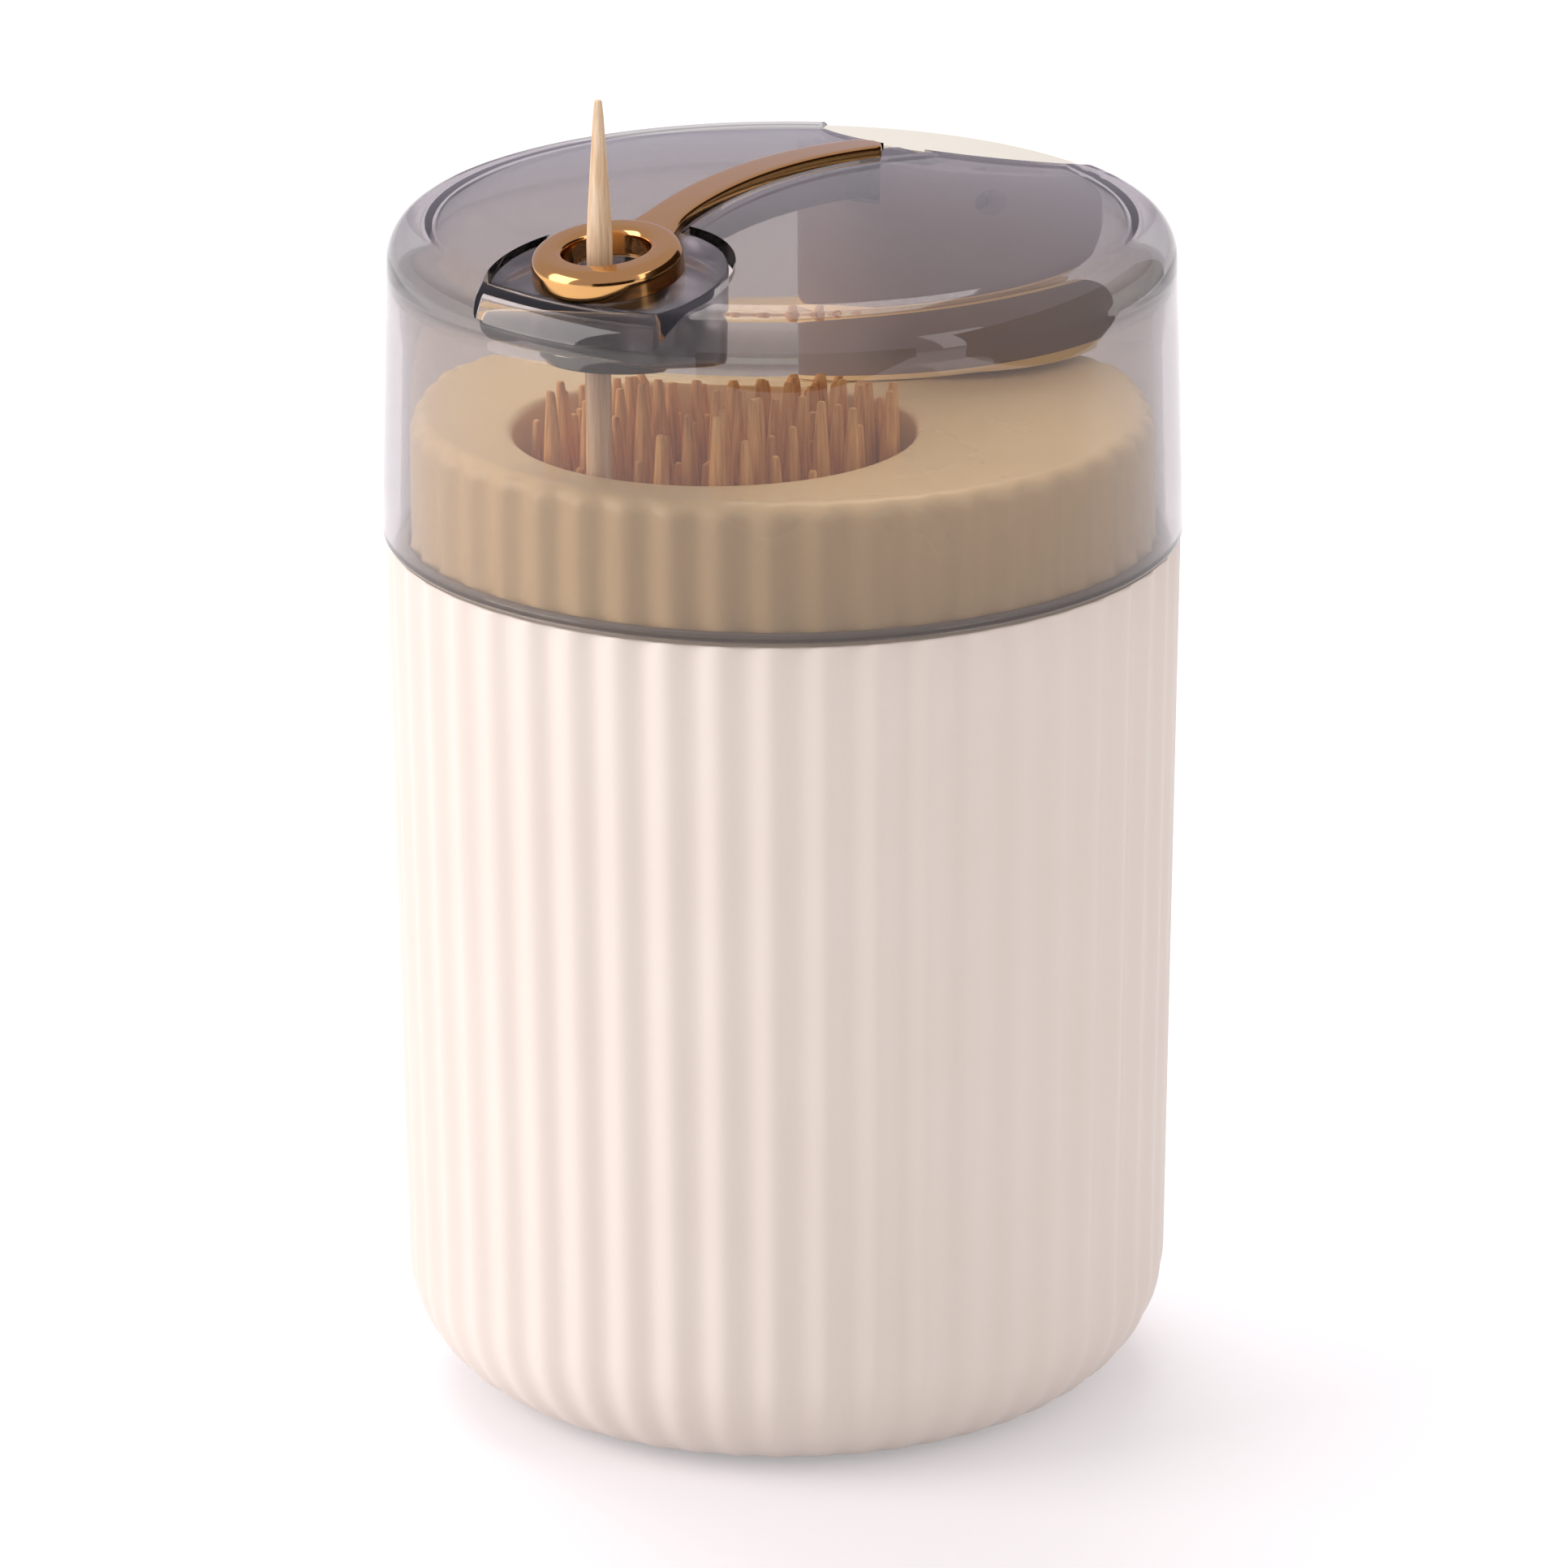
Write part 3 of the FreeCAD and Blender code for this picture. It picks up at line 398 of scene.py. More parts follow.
def skin(rows, loop=False):
    """Points and faces of a closed skin over rows of points. The columns close round. With loop the
    last row joins the first, and otherwise a fan to its middle closes each end."""
    count, columns, _ = rows.shape
    index = np.arange(count * columns).reshape(count, columns)
    low = index if loop else index[:-1]
    high = np.roll(index, -1, axis=0) if loop else index[1:]
    corners = (low, np.roll(low, -1, axis=1), np.roll(high, -1, axis=1), high)
    faces = np.stack(corners, axis=-1).reshape(-1, 4).tolist()
    points = rows.reshape(-1, 3)
    if not loop:
        points = np.vstack([points, rows[0].mean(axis=0), rows[-1].mean(axis=0)])
        middle = np.full(columns, count * columns)
        faces += np.stack([np.roll(index[0], -1), index[0], middle], axis=-1).tolist()
        faces += np.stack([index[-1], np.roll(index[-1], -1), middle + 1], axis=-1).tolist()
    return points, faces


def mesh_from(name, skins):
    """Mesh of several closed skins, each turned outwards by the sign of its volume, in metres."""
    all_points, all_faces, start = [], [], 0
    for points, faces in skins:
        first = np.array([f[:3] for f in faces])
        rest = np.array([[f[0], f[2], f[3]] for f in faces if len(f) == 4])
        triangles = points[np.vstack([first, rest]) if len(rest) else first]
        volume = np.einsum("ij,ij->", triangles[:, 0], np.cross(triangles[:, 1], triangles[:, 2]))
        if volume < 0:
            faces = [f[::-1] for f in faces]
        all_points.append(points)
        all_faces += [[start + k for k in f] for f in faces]
        start += len(points)
    mesh = bpy.data.meshes.new(name)
    mesh.from_pydata((np.vstack(all_points) * MM).tolist(), [], all_faces)
    mesh.update()
    return mesh


def piece(name, skins, body, material, slot, stands_for=(), sharp=35.0, cut=(), join=(), keep=None):
    """Object of closed skins that rides on a body, kept inside one skin, joined with others and cut by
    others, in that order."""
    made = bpy.data.objects.new(name, mesh_from(name, skins))
    bpy.context.scene.collection.objects.link(made)
    inside = [keep] if keep else []
    for operation, tools in (("INTERSECT", inside), ("UNION", join), ("DIFFERENCE", cut)):
        for tool_skins in tools:
            carve(made, tool_skins, operation)
    made.data.shade_smooth()
    made.data.set_sharp_from_angle(angle=math.radians(sharp))
    made.data.materials.clear()
    made.data.materials.append(material)
    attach(made, body)
    if stands_for:
        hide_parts(*stands_for)
    return made


def carve(made, tool_skins, operation):
    """Apply one boolean of an object with a closed tool."""
    tool = bpy.data.objects.new("tool", mesh_from("tool", [tool_skins]))
    bpy.context.scene.collection.objects.link(tool)
    step = made.modifiers.new("step", "BOOLEAN")
    step.operation = operation
    step.solver = "EXACT"
    step.object = tool
    seen = made.evaluated_get(bpy.context.evaluated_depsgraph_get())
    mesh = bpy.data.meshes.new_from_object(seen)
    made.modifiers.clear()
    made.data = mesh
    bpy.data.objects.remove(tool)


def arc(r, z, radius, start, end, count):
    """Profile points on an arc round (r, z): radius times (cos, sin) of an angle in degrees."""
    turn = np.radians(np.linspace(start, end, count))
    return np.column_stack([r + radius * np.cos(turn), z + radius * np.sin(turn)])


def line(start, end, count=2):
    """Profile points evenly along a straight run."""
    return np.linspace(start, end, count)


def turned(profile, columns=192, x=0.0, y=0.0):
    """Rows of points: each (r, z) of a profile carried round the upright axis at (x, y)."""
    turn = 2 * np.pi * np.arange(columns) / columns
    r = profile[:, 0, None]
    z = profile[:, 1, None] + 0 * turn
    return np.stack([x + r * np.cos(turn), y + r * np.sin(turn), z], axis=-1)


def upright_block(reach, low, high, centre_y, columns=192):
    """Rows of a prism whose outline is a reach in each direction round (0, centre_y)."""
    turn = 2 * np.pi * np.arange(columns) / columns
    out = reach(turn)
    x, y = out * np.cos(turn), centre_y + out * np.sin(turn)
    return np.stack([np.stack([x, y, 0 * turn + z], axis=-1) for z in (low, high)])


def ray_to_circle(turn, centre_y, radius):
    """Distance from (0, centre_y) along each direction to the circle of a radius round the axis."""
    along = centre_y * np.sin(turn)
    return -along + np.sqrt(along**2 - centre_y**2 + radius**2)


def boss_reach(turn, grow=0.0):
    """Boss outline: a circle round the hole, kept inside a circle round the axis."""
    return np.minimum(BOSS_R + grow, ray_to_circle(turn, BOSS_Y, BOSS_CUT_R + grow))


def dome(points_x, points_y, offset=0.0):
    """Height of the dome moved outwards by an offset: its centre plus root of R^2 - x^2 - y^2."""
    return DOME_Z + np.sqrt((DOME_R + offset) ** 2 - points_x**2 - points_y**2)


def fluted(profile):
    """Rows of a fluted skin from (r, z, depth): r less depth/2 * (1 + cos(flutes * angle))."""
    columns = FLUTES * COLUMNS_PER_FLUTE
    turn = 2 * np.pi * np.arange(columns) / columns
    r = profile[:, 0, None] - profile[:, 2, None] / 2 * (1 + np.cos(FLUTES * turn))
    z = profile[:, 1, None] + 0 * turn
    return np.stack([r * np.cos(turn), r * np.sin(turn), z], axis=-1)


def with_depth(profile, depth):
    """Profile with a flute depth beside each point."""
    return np.column_stack([profile, np.broadcast_to(depth, len(profile))])


def outer_body():
    """Fluted cup. Its base follows r = foot + reach * sin(t), z = foot + round * (1 - cos(t)), while
    the flutes deepen from a quarter to full, and its wall flares evenly to the rim."""
    share = np.linspace(0, 1, 19)
    turn = share * np.pi / 2
    base = np.column_stack(
        [
            FOOT_R + (BODY_LOW_R - FOOT_R) * np.sin(turn),
            FOOT_Z + BASE_ROUND * (1 - np.cos(turn)),
            FLUTE_DEPTH * (FADE + (1 - FADE) * share),
        ]
    )
    groove_in, groove_out, groove_top = FOOT_GROOVE
    under = [(AXIS_R, FOOT_Z), (groove_in, FOOT_Z), (groove_in, groove_top)]
    under = with_depth(np.array(under + [(groove_out, groove_top), (groove_out, FOOT_Z)]), 0)
    lip_z = BODY_TOP_Z - BODY_LIP
    wall = line((BODY_LOW_R, FOOT_Z + BASE_ROUND), (BODY_TOP_R, lip_z), 12)[1:]
    wall = with_depth(wall, FLUTE_DEPTH)
    rim = with_depth(arc(BODY_TOP_R - BODY_LIP, lip_z, BODY_LIP, 0, 90, 5)[1:], FLUTE_DEPTH)
    inner_rim = with_depth(arc(BODY_IN_TOP_R + BODY_LIP, lip_z, BODY_LIP, 90, 180, 5), 0)
    corner = (BODY_IN_LOW_R - BODY_IN_ROUND, BODY_FLOOR_Z + BODY_IN_ROUND)
    inside = np.vstack([arc(*corner, BODY_IN_ROUND, 0, -90, 9), [(AXIS_R, BODY_FLOOR_Z)]])
    inside = with_depth(inside, 0)
    rows = fluted(np.vstack([under, base, wall, rim, inner_rim, inside]))
    return piece("fluted_body", [skin(rows)], "base", ivory_abs, "ivory_plastic", ["outer_body"], sharp=40)


def neck_collar():
    """Fluted collar. Outside it is a fluted wall with a rounded shoulder, its plate runs straight from
    the shoulder's circle to the off-centre circle of the well, and a spigot hangs inside the body."""
    share = np.linspace(0, 1, 9)
    turn = share * np.pi / 2
    shoulder = np.column_stack(
        [
            NECK_R - NECK_ROUND * (1 - np.cos(turn)),
            NECK_TOP_Z - NECK_ROUND * (1 - np.sin(turn)),
            FLUTE_DEPTH * (1 - (1 - FADE) * share),
        ]
    )
    wall = line((NECK_R, BODY_TOP_Z), (NECK_R, NECK_TOP_Z - NECK_ROUND), 6)[:-1]
    wall = with_depth(wall, FLUTE_DEPTH)
    outside = fluted(np.vstack([wall, shoulder]))
    columns = outside.shape[1]
    lip = arc(WELL_R + WELL_LIP, NECK_TOP_Z - WELL_LIP, WELL_LIP, 90, 180, 7)
    well = turned(np.vstack([lip, [(WELL_R, PLATE_LOW_Z)]]), columns, 0, WELL_Y)
    spread = np.linspace(0, 1, 6)[1:-1, None, None]
    plate = outside[-1] * (1 - spread) + well[0] * spread
    bore = [(NECK_IN_R, PLATE_LOW_Z), (NECK_IN_R, SPIGOT_Z)]
    inner = turned(np.array(bore + [(SPIGOT_R, SPIGOT_Z), (SPIGOT_R, BODY_TOP_Z)]), columns)
    rows = np.vstack([outside, plate, well, inner])
    radius, hole, low = SCREW_BOSS
    skins = [skin(rows, loop=True)]
    high = PLATE_LOW_Z + SCREW_BOSS_SINK
    ring = np.array([(hole, low), (radius, low), (radius, high), (hole, high)])
    for degrees in SCREW_ANGLES:
        turn = math.radians(degrees)
        x, y = SCREW_OUT * math.cos(turn), WELL_Y + SCREW_OUT * math.sin(turn)
        skins.append(skin(turned(ring, 24, x, y), loop=True))
    return piece("fluted_collar", skins, "base", beige_abs, "ivory_plastic", ["neck_collar"], sharp=40)


def shoulder_profile(low_r, high_r, offset, rounding, low, count):
    """Profile of the lid's skin from its rim to the pole: a straight wall, an arc that touches the
    wall and the dome's circle, and the dome. The arc's centre lies a radius inside both."""
    slope = (high_r - low_r) / (LID_HIGH_Z - LID_LOW_Z)
    tilt = math.atan(slope)
    roof = DOME_R + offset
    shift = low_r - slope * LID_LOW_Z - rounding / math.cos(tilt)
    # Centre (r, z) with r = slope * z + shift and r^2 + (z - DOME_Z)^2 = (roof - rounding)^2
    a = slope**2 + 1
    b = slope * shift - DOME_Z
    c = shift**2 + DOME_Z**2 - (roof - rounding) ** 2
    z = (-b + math.sqrt(b * b - a * c)) / a
    r = slope * z + shift
    to_dome = math.degrees(math.atan2(z - DOME_Z, r))
    bend = arc(r, z, rounding, -math.degrees(tilt), to_dome, count)
    start = (low_r + slope * (low - LID_LOW_Z), low)
    crown_turn = np.radians(np.linspace(to_dome, 90, 22)[1:])
    crown = np.column_stack([roof * np.cos(crown_turn), DOME_Z + roof * np.sin(crown_turn)])
    crown[-1, 0] = AXIS_R
    return np.vstack([line(start, bend[0], 8)[:-1], bend, crown])


def bow_angle(y):
    """Angle on the rib's bow at a place along Y."""
    return math.asin((y - BOW_Y) / BOW_R)


def bow_sweep(section, front, back, steps, width=None):
    """Rows of a bar that follows the bow. Each point of its section gives how far it lies across the
    bow, times the width at that share of the length, and how far above the dome."""
    turn = np.linspace(bow_angle(front), bow_angle(back), steps)[:, None]
    scale = 1.0 if width is None else width(np.linspace(0, 1, steps))[:, None]
    reach = BOW_R - section[None, :, 0] * scale
    x = BOW_X - reach * np.cos(turn)
    y = BOW_Y + reach * np.sin(turn)
    return np.stack([x, y, dome(x, y) + section[None, :, 1]], axis=-1)


def bar_section(half, low, high, rounding):
    """Section of a bar between two heights, with rounded upper corners."""
    right = arc(half - rounding, high - rounding, rounding, 0, 90, 6)
    left = arc(-half + rounding, high - rounding, rounding, 90, 180, 6)
    top = line((half - rounding, high), (-half + rounding, high), 6)[1:-1]
    bottom = line((-half, low), (half, low), 4)
    return np.vstack([right, top, left, bottom])


def lid_slot_tools():
    """Closed tools that cut the rocker's slot: the boss twice, the rib's band and the pad's notch."""
    low, high = BOSS_LOW_Z - BOSS_TOOL_DROP, DOME_TOP_Z + TOOL_TOP
    boss = upright_block(lambda t: boss_reach(t, SLOT_GAP), low, high, BOSS_Y)
    moved = boss + np.array([0, SLOT_BACK, 0])
    half = RIB_HALF + SLOT_GAP
    deep = -BAND_TOOL_DROP
    section = [(half, deep), (half, TOOL_TOP), (0, TOOL_TOP), (-half, TOOL_TOP), (-half, deep), (0, deep)]
    band = bow_sweep(np.array(section), BOSS_Y, PAD_PLACE[1] - PAD_R + PAD_GAP, 60)
    return [skin(boss), skin(moved), skin(band), pad_block(PAD_GAP, PAD_NOTCH_Z)]


def lid_shell():
    """Clear lid: the outer skin down to a rounded rim, and the inner skin a wall inside it."""
    outside = shoulder_profile(LID_LOW_R, LID_HIGH_R, 0, LID_ROUND, LID_LOW_Z + LID_LIP, 13)
    low_r, high_r = LID_LOW_R - LID_WALL, LID_HIGH_R - LID_WALL
    inside = shoulder_profile(low_r, high_r, -LID_ROOF, LID_IN_ROUND, LID_LOW_Z, 9)
    rim = arc(LID_LOW_R - LID_LIP, LID_LOW_Z + LID_LIP, LID_LIP, -90, 0, 5)[:-1]
    profile = np.vstack([outside[::-1], rim[::-1], inside])
    body = skin(turned(profile, 288))
    slot = lid_slot_tools()
    return piece("domed_lid", [body], "lid", smoky_san, "smoky_plastic", ["lid_shell"], cut=slot)


def pad_block(grow, low):
    """Upright cylinder of the pad's outline, grown by a gap, from a height upwards."""
    radius, high = PAD_R + grow, DOME_TOP_Z + TOOL_TOP
    outline = np.array([(AXIS_R, low), (radius, low), (radius, high), (AXIS_R, high)])
    return skin(turned(outline, 256, *PAD_PLACE))


def press_pad():
    """Cream pad that carries on the lid's dome and shoulder: the lid's outer form drawn in by the
    drop, hollowed by the same form drawn in by the wall, and kept inside the pad's outline."""
    forms = []
    for drop, rounding, count in ((PAD_DROP, LID_ROUND, 13), (PAD_DROP + PAD_THICK, LID_IN_ROUND, 9)):
        low_r, high_r = LID_LOW_R - drop, LID_HIGH_R - drop
        forms.append(shoulder_profile(low_r, high_r, -drop, rounding, PAD_RIM_Z - PAD_FORM_DROP, count))
    form = skin(turned(np.vstack([forms[0][::-1], forms[1]]), 288))
    radius, out, y = PAD_POST
    top = DOME_TOP_Z - PAD_DROP - PAD_THICK - PAD_POST_SINK
    post = np.array([(AXIS_R, LEVER_Z[1]), (radius, LEVER_Z[1]), (radius, top), (AXIS_R, top)])
    posts = [skin(turned(post, 32, x, y)) for x in (-out, out)]
    tools = {"keep": pad_block(0.0, PAD_RIM_Z), "join": posts}
    return piece("press_pad_cream", [form], "rocker", cream_abs, "ivory_plastic", ["press_pad"], **tools)


def rocker_arm():
    """Dark clear rocker. Its boss is the outline between a crown that follows the dome and a flat
    underside, its rib is swept along the bow, and a barrel and a lever plate lie behind them."""
    columns = 256
    turn = 2 * np.pi * np.arange(columns) / columns
    rows = []

    def add(out, z=None, offset=0.0):
        """Add the row at a reach from the boss's middle, at a height or on the offset dome."""
        x = out * np.cos(turn)
        y = BOSS_Y + out * np.sin(turn)
        rows.append(np.stack([x, y, dome(x, y, offset) if z is None else 0 * turn + z], axis=-1))

    top = -FLUSH_DROP
    hole = 0 * turn + ARM_HOLE_R
    add(hole, None, top)
    for share in (0.3, 0.6, 0.85):
        add(hole * (1 - share) + boss_reach(turn, -BOSS_EDGE) * share, None, top)
    for part in np.radians(np.linspace(0, 90, 6)):
        reach = boss_reach(turn, -BOSS_EDGE * (1 - math.sin(part)))
        add(reach, None, top - BOSS_EDGE * (1 - math.cos(part)))
    for part in np.radians(np.linspace(0, 90, 9)):
        reach = boss_reach(turn, -BOSS_ROUND * (1 - math.cos(part)))
        add(reach, BOSS_LOW_Z + BOSS_ROUND * (1 - math.sin(part)))
    seats = ((FUNNEL_SEAT[0], BOSS_LOW_Z), FUNNEL_SEAT, (GRIP_SEAT[0], FUNNEL_SEAT[1]), GRIP_SEAT)
    for radius, z in seats:
        add(0 * turn + radius, z)
    add(hole, GRIP_SEAT[1])
    boss = skin(np.stack(rows), loop=True)
    section = bar_section(RIB_HALF, -FLUSH_DROP - RIB_DEPTH, -FLUSH_DROP, BOSS_EDGE)
    rib = skin(bow_sweep(section, BOSS_Y + ARM_HOLE_R + RIB_START, RIB_END_Y, 60))
    end = BARREL_HALF
    ring = [(PIN_HOLE_R, -end), (BARREL_R, -end), (BARREL_R, end), (PIN_HOLE_R, end)]
    barrel = turned(np.array(ring), 40)[..., [2, 0, 1]] + np.array([0, *PIVOT])
    corner_x = LEVER_HALF - LEVER_CORNER
    corner_y = (LEVER_Y[1] - LEVER_Y[0]) / 2 - LEVER_CORNER
    round_turn = 2 * np.pi * (np.arange(64) + 0.5) / 64
    x = np.sign(np.cos(round_turn)) * corner_x + LEVER_CORNER * np.cos(round_turn)
    y = np.sign(np.sin(round_turn)) * corner_y + LEVER_CORNER * np.sin(round_turn) + sum(LEVER_Y) / 2
    plate = np.stack([np.stack([x, y, 0 * x + z], axis=-1) for z in LEVER_Z])
    web_x = BARREL_HALF - WEB_INSET
    front, back = PIVOT[0] + BARREL_R - WEB_SINK[0], LEVER_Y[0] + WEB_SINK[1]
    corners = np.array([(web_x, front), (web_x, back), (-web_x, back), (-web_x, front)])
    web = np.stack([np.column_stack([corners, np.full(4, z)]) for z in LEVER_Z])
    parts = [rib, skin(barrel, loop=True), skin(plate), skin(web)]
    return piece(
        "rocker_boss_and_rib", [boss], "rocker", dark_san, "smoky_plastic", ["rocker_arm"], join=parts
    )


def gold_trim():
    """Plated ring, turned and tipped square to the dome, with a tail swept along the bow. The tail
    widens a little where it runs into the ring and rounds off at its end."""
    outer = RING_R - RING_ROUND
    inner = RING_HOLE_R + RING_HOLE_ROUND
    drop = -SEAT_DROP - RING_R**2 / (2 * DOME_R)
    profile = np.vstack(
        [
            [(RING_HOLE_R, drop), (RING_R, drop), (RING_R, (RING_RISE - RING_ROUND) / 2)],
            arc(outer, RING_RISE - RING_ROUND, RING_ROUND, 0, 90, 12),
            arc(inner, RING_RISE - RING_HOLE_ROUND, RING_HOLE_ROUND, 90, 180, 8),
        ]
    )
    ring = turned(profile, 192)
    tip = math.asin(-BOSS_Y / DOME_R)
    y = ring[..., 1] * math.cos(tip) - ring[..., 2] * math.sin(tip)
    z = ring[..., 1] * math.sin(tip) + ring[..., 2] * math.cos(tip)
    place = dome(0.0, BOSS_Y)
    ring = np.stack([ring[..., 0], y + BOSS_Y, z + place], axis=-1)
    end = TAIL_TIP / (TAIL_END_Y - BOSS_Y)

    def width(share):
        """Width of the tail as a share of its plain width, by the share of its length."""
        flare = 1 + FLARE[0] * np.exp(-((share / FLARE[1]) ** 2))
        past = np.clip((share - (1 - end)) / end, 0, 0.98)
        return flare * np.sqrt(1 - past**2)

    section = bar_section(TAIL_HALF, -SEAT_DROP, TAIL_RISE, TAIL_ROUND)
    start = BOSS_Y + RING_HOLE_R + RING_HOLE_ROUND
    tail = skin(bow_sweep(section, start, TAIL_END_Y, 120, width))
    body = skin(ring, loop=True)
    return piece(
        "gold_ring_and_tail", [body], "rocker", gold, "gold_plating", ["gold_ring_trim"], join=[tail]
    )


def pick_profile(tip_points):
    """Profile of a pick from its foot up: a rounded tip, a slightly bellied taper, a straight shank
    and the same again. The taper's radius grows as a power of the share of its length."""
    share = np.linspace(0, 1, tip_points)
    r = PICK_TIP_R + (PICK_R - PICK_TIP_R) * share**TAPER_POWER
    low = np.column_stack([r, PICK_TAPER * share])
    tip = np.array([(AXIS_R, 0.0), (PICK_TIP_R * 0.7, TIP_START[0])])
    low[0, 1] = TIP_START[1]
    high = np.column_stack([low[::-1, 0], PICK_LENGTH - low[::-1, 1]])
    cap = np.column_stack([tip[::-1, 0], PICK_LENGTH - tip[::-1, 1]])
    return np.vstack([tip, low, high, cap])


def dispensed_pick():
    """Pick that stands in the ring, a little out of round along its length."""
    rows = turned(pick_profile(9), 28)
    share, wave = OUT_OF_ROUND
    rows[..., :2] *= 1 + share * np.sin(rows[..., 2:] / wave) - share
    rows += np.array([*PICK_PLACE, PICK_TOP_Z - PICK_LENGTH])
    return piece("dispensed_pick", [skin(rows)], "pick", birch, "birch_wood", ["dispensed_toothpick"])


def cup_picks():
    """Picks in the cup: a hexagonal grid that fans out towards the top, swayed by slow waves. Each
    pick's top strays a little and the pick is raised by a share, both seeded."""
    rng = np.random.default_rng(11)
    room = WELL_R - PICK_R
    skins = []
    round_pick = turned(pick_profile(4), 10)
    wave = GRID_HIGH / SWAY_SPAN * 2 * math.pi
    for row in range(-GRID_REACH, GRID_REACH + 1):
        for column in range(-GRID_REACH, GRID_REACH + 1):
            u, v = column + (row % 2) / 2, row * math.sqrt(3) / 2
            lean = SWAY * np.array([math.sin(v * wave + 1), math.cos(u * wave)])
            foot = np.array([u, v]) * GRID_LOW
            head = np.array([u, v]) * GRID_HIGH + lean + rng.uniform(-STRAY, STRAY, 2)
            near_pick = np.hypot(head[0] - PICK_PLACE[0], head[1] + WELL_Y - PICK_PLACE[1])
            past_cup = max(np.hypot(*foot), np.hypot(*head)) > room - CUP_EASE
            if past_cup or near_pick < 2 * PICK_R + PICK_ROOM:
                continue
            side = (head[0] * TALL_SIDE[0] + head[1] * TALL_SIDE[1]) / room
            lift = RISE * rng.random() ** (LIFT_POWER[0] - LIFT_POWER[1] * side)
            z = round_pick[..., 2:] + lift
            centre = foot + (head - foot) * z / PICK_LENGTH
            rows = np.concatenate([round_pick[..., :2] + centre, z + PICK_FLOOR_Z], axis=-1)
            rows[..., 1] += WELL_Y
            skins.append(skin(rows))
    # The cup's birch is painted deeper and oranger: painted shade and bounce light between the picks
    return piece("picks_in_cup", skins, "base", cup_birch_painted_shade, "birch_wood", ["toothpick_bundle"], sharp=60)


def rim_gasket():
    """Soft ring under the lid's rim: a flat with an upstand at its inner side, turned."""
    inner, step, outer = GASKET_R
    low, flat, top = GASKET_Z
    edge = GASKET_EDGE
    profile = np.vstack(
        [
            [(inner, low), (outer, low)],
            arc(outer - edge, flat - edge, edge, 0, 90, 4),
            [(step, flat)],
            arc(step - edge, top - edge, edge, 0, 90, 4),
            [(inner, top)],
        ]
    )
    body = skin(turned(profile, 288), loop=True)
    return piece("rim_gasket_ring", [body], "base", grey_silicone, "clear_silicone", ["rim_gasket"])


def return_spring():
    """Open coil: round wire swept along x = R cos t, y = y0 + R sin t, z rising evenly with t."""
    steps = 28 * SPRING_TURNS + 1
    turn = np.linspace(0, 2 * np.pi * SPRING_TURNS, steps)
    climb = (SPRING_Z[1] - SPRING_Z[0]) / turn[-1]
    out = np.stack([np.cos(turn), np.sin(turn), 0 * turn], axis=-1)
    middle = out * SPRING_R + np.array([0, SPRING_Y, SPRING_Z[0]])
    middle[:, 2] += climb * turn
    along = np.stack([-SPRING_R * np.sin(turn), SPRING_R * np.cos(turn), 0 * turn + climb], axis=-1)
    along /= np.linalg.norm(along, axis=1, keepdims=True)
    up = np.cross(out, along)
    wire = 2 * np.pi * np.arange(12) / 12
    round_wire = out[:, None] * np.cos(wire)[None, :, None] + up[:, None] * np.sin(wire)[None, :, None]
    rows = middle[:, None] + SPRING_WIRE_R * round_wire
    made = piece("coil_spring", [skin(rows)], "lid", drawn_steel, "steel", ["return_spring"], sharp=60)
    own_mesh(made)


outer_body()
neck_collar()
lid_shell()
rocker_arm()
press_pad()
gold_trim()
dispensed_pick()
cup_picks()
rim_gasket()
return_spring()

# CAD nodes that keep their own mesh
CAD_FINISHES = {
    "foot_ring": grey_silicone,
    "pick_cup": beige_abs,
    "cup_floor": beige_abs,
    "cup_screws": zinc_steel,
    # The mechanism box's dark mauve is painted shade
    "mechanism_housing": mauve_abs_painted_shade,
    "housing_cover": beige_abs,
    "housing_screws": zinc_steel,
    "pivot_pin": drawn_steel,
    "guide_funnel": dark_san,
    "pick_grip": grey_silicone,
    "pad_screws": zinc_steel,
}
for name, finish in CAD_FINISHES.items():
    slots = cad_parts[name].data.materials
    slots.clear()
    slots.append(finish)

# Studio: the photograph looks along AWAY, with RIGHT to its right
RIGHT = Vector((0.8141, 0.5807, 0.0))
AWAY = Vector((-0.5807, 0.8141, 0.0))
EYE = Vector((0.4953, -0.6944, 0.3424))
PITCH = 18.67
ROLL = -0.25
LENS = 234.4
SENSOR = 36.0
LAMP_TARGET = Vector((0, 0, 0.055))
FLOOR_HALF = 3.0


def studio(right, away, up):
    """Place in metres from steps to the right, away from the camera and up."""
    return RIGHT * right + AWAY * away + Vector((0, 0, up))


def make_camera():
    """Camera at the photograph's place, pitch and roll."""
    data = bpy.data.cameras.new("camera")
    data.lens = LENS
    data.sensor_width = SENSOR
    data.clip_start = 0.01
    camera = bpy.data.objects.new("camera", data)
    bpy.context.scene.collection.objects.link(camera)
    pitch = math.radians(PITCH)
    ahead = AWAY * math.cos(pitch) - Vector((0, 0, math.sin(pitch)))
    turn = ahead.to_track_quat("-Z", "Y").to_matrix().to_4x4()
    camera.matrix_world = Matrix.Translation(EYE) @ turn @ Matrix.Rotation(math.radians(ROLL), 4, "Z")
    bpy.context.scene.camera = camera


def lamp(name, place, size, power, code, shines_in_gloss=True):
    """Soft square lamp that points at the object and that the camera doesn't see."""
    data = bpy.data.lights.new(name, "AREA")
    data.shape = "RECTANGLE"
    data.size, data.size_y = size
    data.energy = power
    data.color = linear(code)[:3]
    made = bpy.data.objects.new(name, data)
    bpy.context.scene.collection.objects.link(made)
    made.location = place
    made.rotation_euler = (LAMP_TARGET - made.location).to_track_quat("-Z", "Y").to_euler()
    made.visible_camera = False
    made.visible_glossy = shines_in_gloss


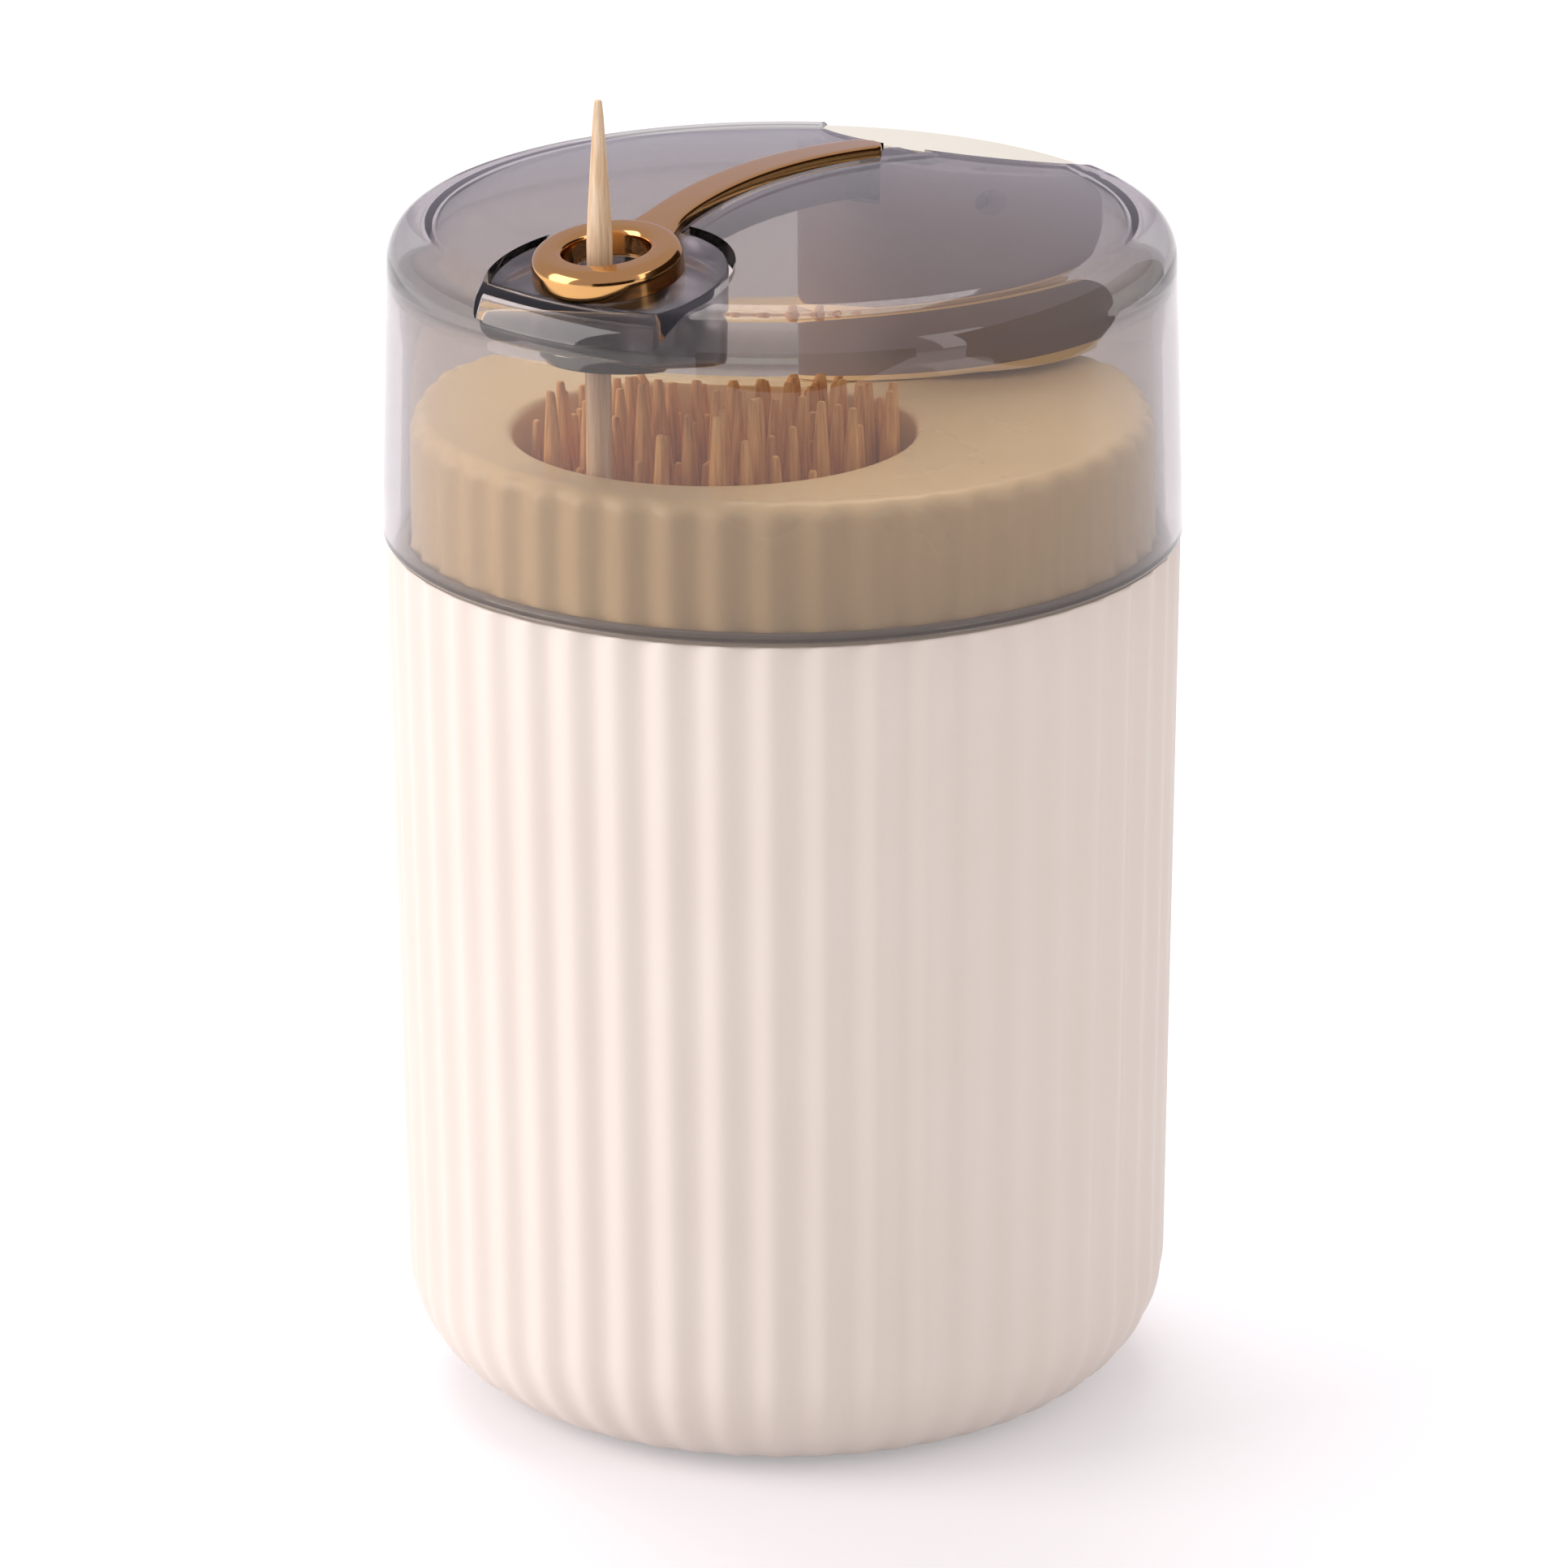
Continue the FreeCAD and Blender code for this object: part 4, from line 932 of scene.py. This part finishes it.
def flat_sheet(name, corners, material):
    """One four-cornered sheet of the studio."""
    mesh = bpy.data.meshes.new(name)
    mesh.from_pydata([tuple(c) for c in corners], [], [(0, 1, 2, 3)])
    mesh.materials.append(material)
    made = bpy.data.objects.new(name, mesh)
    bpy.context.scene.collection.objects.link(made)
    return made


def dark_flag(name, middle, facing, half_width, half_height):
    """Upright dark sheet that only reflections see, square to a level direction."""
    material, tree, out = new_material(name)
    felt = node(tree, "ShaderNodeBsdfDiffuse", {"Color": linear("2A1F1A")})
    tree.links.new(felt.outputs[0], out.inputs[0])
    side = Vector((-facing.y, facing.x, 0.0)) * half_width
    up = Vector((0.0, 0.0, half_height))
    corners = [middle - side - up, middle + side - up, middle + side + up, middle - side + up]
    sheet = flat_sheet(name, corners, material)
    for kind in ("camera", "diffuse", "transmission", "volume_scatter", "shadow"):
        setattr(sheet, "visible_" + kind, False)


def matt_floor():
    """White floor: seen rays get white paint whose shadow part is a share of it, and other rays
    plain pale paint."""
    material, tree, out = new_material("white_floor")
    path = node(tree, "ShaderNodeLightPath")
    seen = any_ray(tree, path, "Is Camera Ray", "Is Glossy Ray", "Is Transmission Ray")
    paint = node(tree, "ShaderNodeBsdfDiffuse", {"Color": linear("E2DEE4")})
    glow = node(tree, "ShaderNodeEmission", {"Color": linear("FFFFFF"), "Strength": 0.3})
    both = node(tree, "ShaderNodeAddShader", {}, {0: (paint, 0), 1: (glow, 0)})
    plain = node(tree, "ShaderNodeBsdfDiffuse", {"Color": linear("E6E4E6")})
    mix = node(tree, "ShaderNodeMixShader", {}, {0: seen, 1: (plain, 0), 2: (both, 0)})
    tree.links.new(mix.outputs[0], out.inputs[0])
    return material


def pale_world():
    """World that lights softly, looks white to the camera and through clear plastic, and has a lilac
    cast where gloss reflects it."""
    world = bpy.data.worlds.new("studio")
    world.use_nodes = True
    tree = world.node_tree
    tree.nodes.clear()
    out = node(tree, "ShaderNodeOutputWorld")
    path = node(tree, "ShaderNodeLightPath")
    seen = any_ray(tree, path, "Is Camera Ray", "Is Transmission Ray")
    white = node(tree, "ShaderNodeBackground", {"Color": linear("FFFFFF"), "Strength": 1.0})
    soft = node(tree, "ShaderNodeBackground", {"Color": linear("FFFAF6"), "Strength": 0.58})
    cast = node(tree, "ShaderNodeBackground", {"Color": linear("E9DFF1"), "Strength": 0.62})
    unseen = node(tree, "ShaderNodeMixShader", {}, {0: (path, "Is Glossy Ray"), 1: (soft, 0), 2: (cast, 0)})
    mix = node(tree, "ShaderNodeMixShader", {}, {0: seen, 1: (unseen, 0), 2: (white, 0)})
    tree.links.new(mix.outputs[0], out.inputs[0])
    bpy.context.scene.world = world


make_camera()
floor_signs = ((-1, -1), (1, -1), (1, 1), (-1, 1))
flat_sheet("floor", [(FLOOR_HALF * x, FLOOR_HALF * y, 0) for x, y in floor_signs], matt_floor())
pale_world()
lamp("left_softbox", studio(-0.85, -0.2, 0.4), (0.6, 0.8), 5.2, "FFFAF7")
lamp("right_softbox", studio(0.7, -0.5, 0.4), (0.3, 0.6), 1.0, "FFF8F6")
lamp("back_softbox", studio(-0.1, 0.4, 0.75), (0.6, 0.5), 3.8, "FFFFFF", shines_in_gloss=False)
dark_flag("right_flag", studio(0.45, 0.1, 0.12), RIGHT, 0.45, 0.3)
dark_flag("front_flag", studio(0.08, -0.5, 0.02), AWAY, 0.3, 0.2)
bpy.context.scene.view_settings.view_transform = "Standard"
